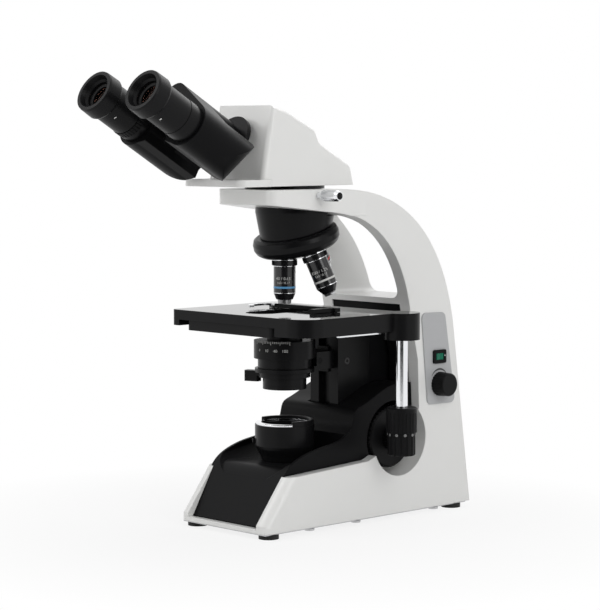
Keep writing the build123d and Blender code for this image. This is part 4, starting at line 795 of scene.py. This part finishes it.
@dataclass
class Condenser:
    """Condenser in its carrier, with the aperture scale and lever."""

    radius: float = 31.0
    scale_top: float = 186.5
    ticks: int = 20
    tick_start: float = 254.0
    tick_sweep: float = 72.0
    tick_width: float = 0.9
    number_drop: float = 9.4
    numbers: tuple[str, ...] = ("4", "10", "40", "100")

    def build(self) -> None:
        """Dress the condenser and mark its scale."""
        paint(BLACK, "condenser_mount", "condenser_body", "iris_lever")
        paint(GRIP, "condenser_knob")
        paint(CLEAR, "condenser_lens")
        self.scale()

    def scale(self) -> None:
        """Fill the ticks and numbers of the aperture scale."""
        blank = Blank(seat(axis_point(0, 0, 0), Z_WAY))
        for step in range(self.ticks + 1):
            angle = self.tick_start + self.tick_sweep * step / self.ticks
            long = step % 5 == 0
            low = self.scale_top - (3.4 if long else 2.0)
            width = self.tick_width
            inner = arc(self.radius - FILL_ROOT, angle - width / 2, width, 1)
            outer = arc(self.radius + FILL_RISE, angle + width / 2, -width, 1)
            blank.slab(inner + outer, low, self.scale_top)
        blank.fit("aperture_ticks", "condenser", WHITE_FILL)
        for step, text in enumerate(self.numbers):
            angle = radians(self.tick_start + self.tick_sweep * (step + 0.5) / len(self.numbers))
            outwards = Vector((cos(angle), sin(angle), 0.0))
            at = axis_point(0, 0, self.scale_top - self.number_drop) + outwards * (self.radius + 0.02) * MM
            place = seat(at, outwards, Vector((-sin(angle), cos(angle), 0.0)))
            number(text, place, 3.0, f"aperture_{text}", "condenser", WHITE_FILL)


@dataclass
class Objective:
    """One objective: where its rings, band and number lie below the shoulder."""

    name: str
    angle: float
    numbers: tuple[str, ...]
    band: Finish
    band_low: float
    band_high: float
    barrel_end: float
    tip: float
    text_at: float


@dataclass
class Nosepiece:
    """Nosepiece with four objectives on a turret that leans back."""

    tilt: float = 16.0
    circle: float = 21.0
    shoulder: float = 267.0
    grip_radius: float = 12.5
    barrel_radius: float = 11.0
    grip_height: float = 6.0
    row_pitch: float = 4.2
    row_size: float = 3.0
    row_shrink: float = 0.7

    def build(self) -> None:
        """Dress the nosepiece and the turret, then each objective."""
        paint(BLACK, "nosepiece_mount", "turret_disc")
        tube = "160 / 0.17"
        for objective in (
            Objective("objective_40x", 0, ("40 / 0.65", tube), BLUE_BAND, 27.0, 29.0, 34.0, 40.5, 19.0),
            Objective("objective_100x", 90, ("100 / 1.25", tube), WHITE_FILL, 27.5, 29.5, 35.0, 42.0, 18.5),
            Objective("objective_4x", 180, ("4 / 0.10",), RED_BAND, 15.5, 17.5, 20.0, 24.0, 10.5),
            Objective("objective_10x", 270, ("10 / 0.25", tube), YELLOW_BAND, 22.0, 24.0, 28.0, 35.0, 13.6),
        ):
            self.objective(objective)

    def axes(self, angle: float) -> tuple[Vector, Vector, Vector]:
        """Where an objective sits.

        Args:
            angle: its angle on the turret, in degrees.

        Returns:
            Its shoulder point, its downward direction and the direction out of the turret.
        """
        lean = radians(self.tilt)
        down = Vector((0.0, sin(lean), -cos(lean)))
        back = Vector((0.0, cos(lean), sin(lean)))
        middle = axis_point(0, 0, self.shoulder) + back * self.circle * MM
        outwards = -back * cos(radians(angle)) + X_WAY * sin(radians(angle))
        return middle + outwards * self.circle * MM, down * cos(lean) + outwards * sin(lean), outwards

    def objective(self, plan: Objective) -> None:
        """Dress an objective and give it its grip, rings, band and number.

        Args:
            plan: the objective's plan.
        """
        paint(BARREL, plan.name)
        shoulder, down, outwards = self.axes(plan.angle)

        def at_tip(middle: Vector, normal: Vector) -> bool:
            """True for the bare metal at the front lens."""
            return (middle - shoulder).dot(down) > plan.tip * MM

        paint_faces(ALLOY, plan.name, at_tip)
        place = seat(shoulder, down, outwards)
        grip, barrel, height = self.grip_radius, self.barrel_radius, self.grip_height
        knurl = Blank(place)
        knurl.ribs(grip - 0.1, 1.2, height - 0.5, 90, 0.4)
        knurl.fit(plan.name + "_knurl", "turret", GRIP)
        rings = Blank(place)
        rings.turn(hoop(grip - 1.0, grip + 0.25, 0.0, 0.9))
        rings.turn(hoop(barrel - 0.5, barrel + 0.18, height + 0.3, height + 1.0))
        rings.turn(hoop(barrel - 0.5, barrel + 0.12, plan.barrel_end - 0.7, plan.barrel_end))
        rings.fit(plan.name + "_rings", "turret", CHROME)
        band = Blank(place)
        band.turn(hoop(barrel - 0.5, barrel + 0.15, plan.band_low, plan.band_high))
        band.fit(plan.name + "_band", "turret", plan.band)
        self.engrave(plan, shoulder, down)

    def engrave(self, plan: Objective, shoulder: Vector, down: Vector) -> None:
        """Fill the plain numbers on the side that faces the user's right.

        Args:
            plan: the objective's plan.
            shoulder: its shoulder point.
            down: its downward direction.
        """
        facing = (READER - down * READER.dot(down)).normalized()
        for row, text in enumerate(plan.numbers):
            drop = plan.text_at + self.row_pitch * row
            at = shoulder + down * drop * MM + facing * (self.barrel_radius + 0.02) * MM
            place = seat(at, facing, facing.cross(down))
            size = self.row_size - self.row_shrink * row
            number(text, place, size, f"{plan.name}_row_{row}", "turret", WHITE_FILL)


@dataclass
class Head:
    """White binocular head, its seat and its clamp screw."""

    clamp_y: float = -2.0
    clamp_z: float = 332.0
    clamp_x: float = 52.2
    clamp_radius: float = 5.5

    def build(self) -> None:
        """Dress the head, then knurl its clamp screw."""
        paint(ENAMEL, "head_body")
        paint(BLACK, "head_dovetail", "head_seat", "hinge_hub")
        paint(CHROME_X, "head_clamp_screw")
        place = seat(axis_point(self.clamp_x, self.clamp_y, self.clamp_z), X_WAY, Y_WAY)
        knurl = Blank(place)
        knurl.ribs(self.clamp_radius - 0.6, 6.0, 24.0, 44, 0.6)
        knurl.fit("clamp_knurl", "clamp_screw", CHROME_X)
        end = Blank(place)
        end.turn([(0.4, 27.9), (3.6, 27.9), (3.6, 28.2), (3.0, 28.6), (0.4, 28.6)], sides=40)
        end.fit("clamp_end", "clamp_screw", BLACK)


@dataclass
class EyeTubes:
    """The two eye tubes with their prism housings and eyepieces."""

    tilt: float = 30.0
    half: float = 35.5
    rim: tuple[float, float] = (-214.0, 433.0)
    barrel_radius: float = 19.2
    mark_sweep: float = 8.0

    def build(self) -> None:
        """Dress both sides, then mark the eyepieces."""
        paint(COVER, "right_prism_housing", "left_prism_housing")
        paint(BLACK, "right_tube", "left_tube")
        paint(GRIP, "left_diopter_ring")
        paint(EYEPIECE, "right_eyepiece", "left_eyepiece")
        paint(COATED, "right_eye_lens", "left_eye_lens")
        self.mark(1, "right_eye", 25.4, 60.0)
        self.mark(-1, "left_eye", 26.0, 48.0)

    def mark(self, side: int, body: str, behind: float, angle: float) -> None:
        """Fill the small dash on an eyepiece.

        Args:
            side: 1 for the user's right and -1 for the left.
            body: the moving body of that tube.
            behind: millimetres from the rim to the dash.
            angle: degrees from the user's right, down round the barrel.
        """
        lean = radians(self.tilt)
        back = Vector((0.0, cos(lean), -sin(lean)))
        middle = axis_point(side * self.half, *self.rim) + back * behind * MM
        blank = Blank(seat(middle, back, X_WAY))
        start, sweep = angle - self.mark_sweep / 2, self.mark_sweep
        inner = arc(self.barrel_radius - FILL_ROOT, start, sweep, 4)
        outer = arc(self.barrel_radius + FILL_RISE, start + sweep, -sweep, 4)
        blank.slab(inner + outer, -0.6, 0.6)
        blank.fit(f"{body}_mark", body, WHITE_FILL)


@dataclass
class Studio:
    """White floor, soft lamps and the camera of the photograph."""

    eye: tuple[float, float, float] = (1595.03, -1518.82, 396.22)
    forward: tuple[float, float, float] = (-0.71706, 0.69248, -0.07933)
    up: tuple[float, float, float] = (-0.05706, 0.05511, 0.99685)
    lens_mm: float = 129.84
    floor_half: float = 6.0
    shadow_reach: float = 0.42
    card_half: float = 0.7
    card_distance: float = 1.1
    card_height: float = 250.0
    lamp_aim: float = 220.0

    def build(self) -> None:
        """Make the camera, the floor, the sky and the lamps."""
        scene = bpy.context.scene
        scene.view_settings.view_transform = "Standard"
        self.camera(scene)
        self.floor()
        self.card()
        self.sky(scene)
        self.lamp("key", (-900, -1500, 1500), 1.6, 16.5)
        self.lamp("side", (1700, -300, 1100), 1.3, 13.5)
        self.lamp("back", (-300, 1500, 1500), 1.5, 9.0)

    def camera(self, scene: bpy.types.Scene) -> None:
        """Stand the camera where the photograph was taken from."""
        data = bpy.data.cameras.new("photo_view")
        data.lens = self.lens_mm
        data.sensor_width = 36.0
        data.clip_end = 50.0
        camera = bpy.data.objects.new("photo_view", data)
        scene.collection.objects.link(camera)
        back = -Vector(self.forward).normalized()
        above = Vector(self.up).normalized()
        turn = Matrix((above.cross(back), above, back)).transposed()
        camera.matrix_world = Matrix.Translation(axis_point(*self.eye)) @ turn.to_4x4()
        scene.camera = camera

    def floor(self) -> None:
        """Lay a white floor that keeps a faint shadow."""
        floor = self.sheet("floor", self.floor_half)
        made = bpy.data.materials.new("white_floor")
        made.use_nodes = True
        graph = Graph(made.node_tree)
        matt = graph.node("BsdfDiffuse", Color=(0.86, 0.86, 0.86, 1.0))
        white = graph.node("Emission", Color=(1.0, 1.0, 1.0, 1.0), Strength=1.0)
        across = graph.node("SeparateXYZ", out=0, Vector=graph.place())
        along = graph.node("SeparateXYZ", out=1, Vector=graph.place())
        far = graph.node("Clamp", Value=(across * across + along * along) / self.shadow_reach**2)
        graph.end(graph.node("MixShader", Fac=self.seen(graph) * (0.8 + 0.2 * far), in_1=matt, in_2=white))
        floor.data.materials.append(made)

    def sheet(self, name: str, half: float) -> bpy.types.Object:
        """Lay a square sheet about the origin.

        Args:
            name: its name.
            half: half of its side in metres.

        Returns:
            The new object.
        """
        corners = [(-half, -half, 0), (half, -half, 0), (half, half, 0), (-half, half, 0)]
        mesh = bpy.data.meshes.new(name)
        mesh.from_pydata(corners, [], [(0, 1, 2, 3)])
        sheet = bpy.data.objects.new(name, mesh)
        bpy.context.scene.collection.objects.link(sheet)
        return sheet

    def card(self) -> None:
        """Stand a dark card beside the camera, which only shiny surfaces see."""
        card = self.sheet("dark_card", self.card_half)
        made = bpy.data.materials.new("dark_card")
        made.use_nodes = True
        graph = Graph(made.node_tree)
        graph.end(graph.node("BsdfDiffuse", Color=(0.01, 0.01, 0.01, 1.0)))
        card.data.materials.append(made)
        away = -Vector(self.forward).normalized()
        middle = axis_point(0, 0, self.card_height) + away * self.card_distance
        card.matrix_world = Matrix.Translation(middle) @ away.to_track_quat("Z", "Y").to_matrix().to_4x4()
        card.visible_camera = False
        card.visible_diffuse = False
        card.visible_shadow = False
        card.visible_transmission = False

    def seen(self, graph: Graph) -> Wire:
        """1 where the camera, a reflection or a lens looks straight at the backdrop."""
        camera = graph.node("LightPath", out="Is Camera Ray")
        mirror = graph.node("LightPath", out="Is Glossy Ray")
        through = graph.node("LightPath", out="Is Transmission Ray")
        return camera | mirror | through

    def sky(self, scene: bpy.types.Scene) -> None:
        """White behind the object, a softer white as light on it."""
        world = bpy.data.worlds.new("studio")
        scene.world = world
        world.use_nodes = True
        graph = Graph(world.node_tree)
        strength = 0.36 + 0.64 * self.seen(graph)
        backdrop = graph.node("Background", Color=(1.0, 1.0, 1.0, 1.0), Strength=strength)
        output = graph.tree.nodes.new("ShaderNodeOutputWorld")
        graph.tree.links.new(backdrop.socket, output.inputs["Surface"])

    def lamp(self, name: str, place: tuple[float, float, float], size: float, watts: float) -> None:
        """Hang a soft square lamp that faces the middle of the microscope.

        Args:
            name: the lamp's name.
            place: millimetres from the optical axis and the table.
            size: side of the lamp in metres.
            watts: power.
        """
        data = bpy.data.lights.new(name, "AREA")
        data.size = size
        data.energy = watts
        lamp = bpy.data.objects.new(name, data)
        bpy.context.scene.collection.objects.link(lamp)
        stand = axis_point(*place)
        aim = axis_point(0, 0, self.lamp_aim) - stand
        lamp.matrix_world = Matrix.Translation(stand) @ aim.to_track_quat("-Z", "Y").to_matrix().to_4x4()


def main() -> None:
    """Build the studio and dress every piece in order."""
    logging.basicConfig(level=logging.WARNING)
    Studio().build()
    for assembly in (Stand, LightPort, Controls, Focus, Stage, Condenser, Nosepiece, Head, EyeTubes):
        LOG.info("building %s", assembly.__name__)
        assembly().build()


if __name__ == "__main__":
    main()
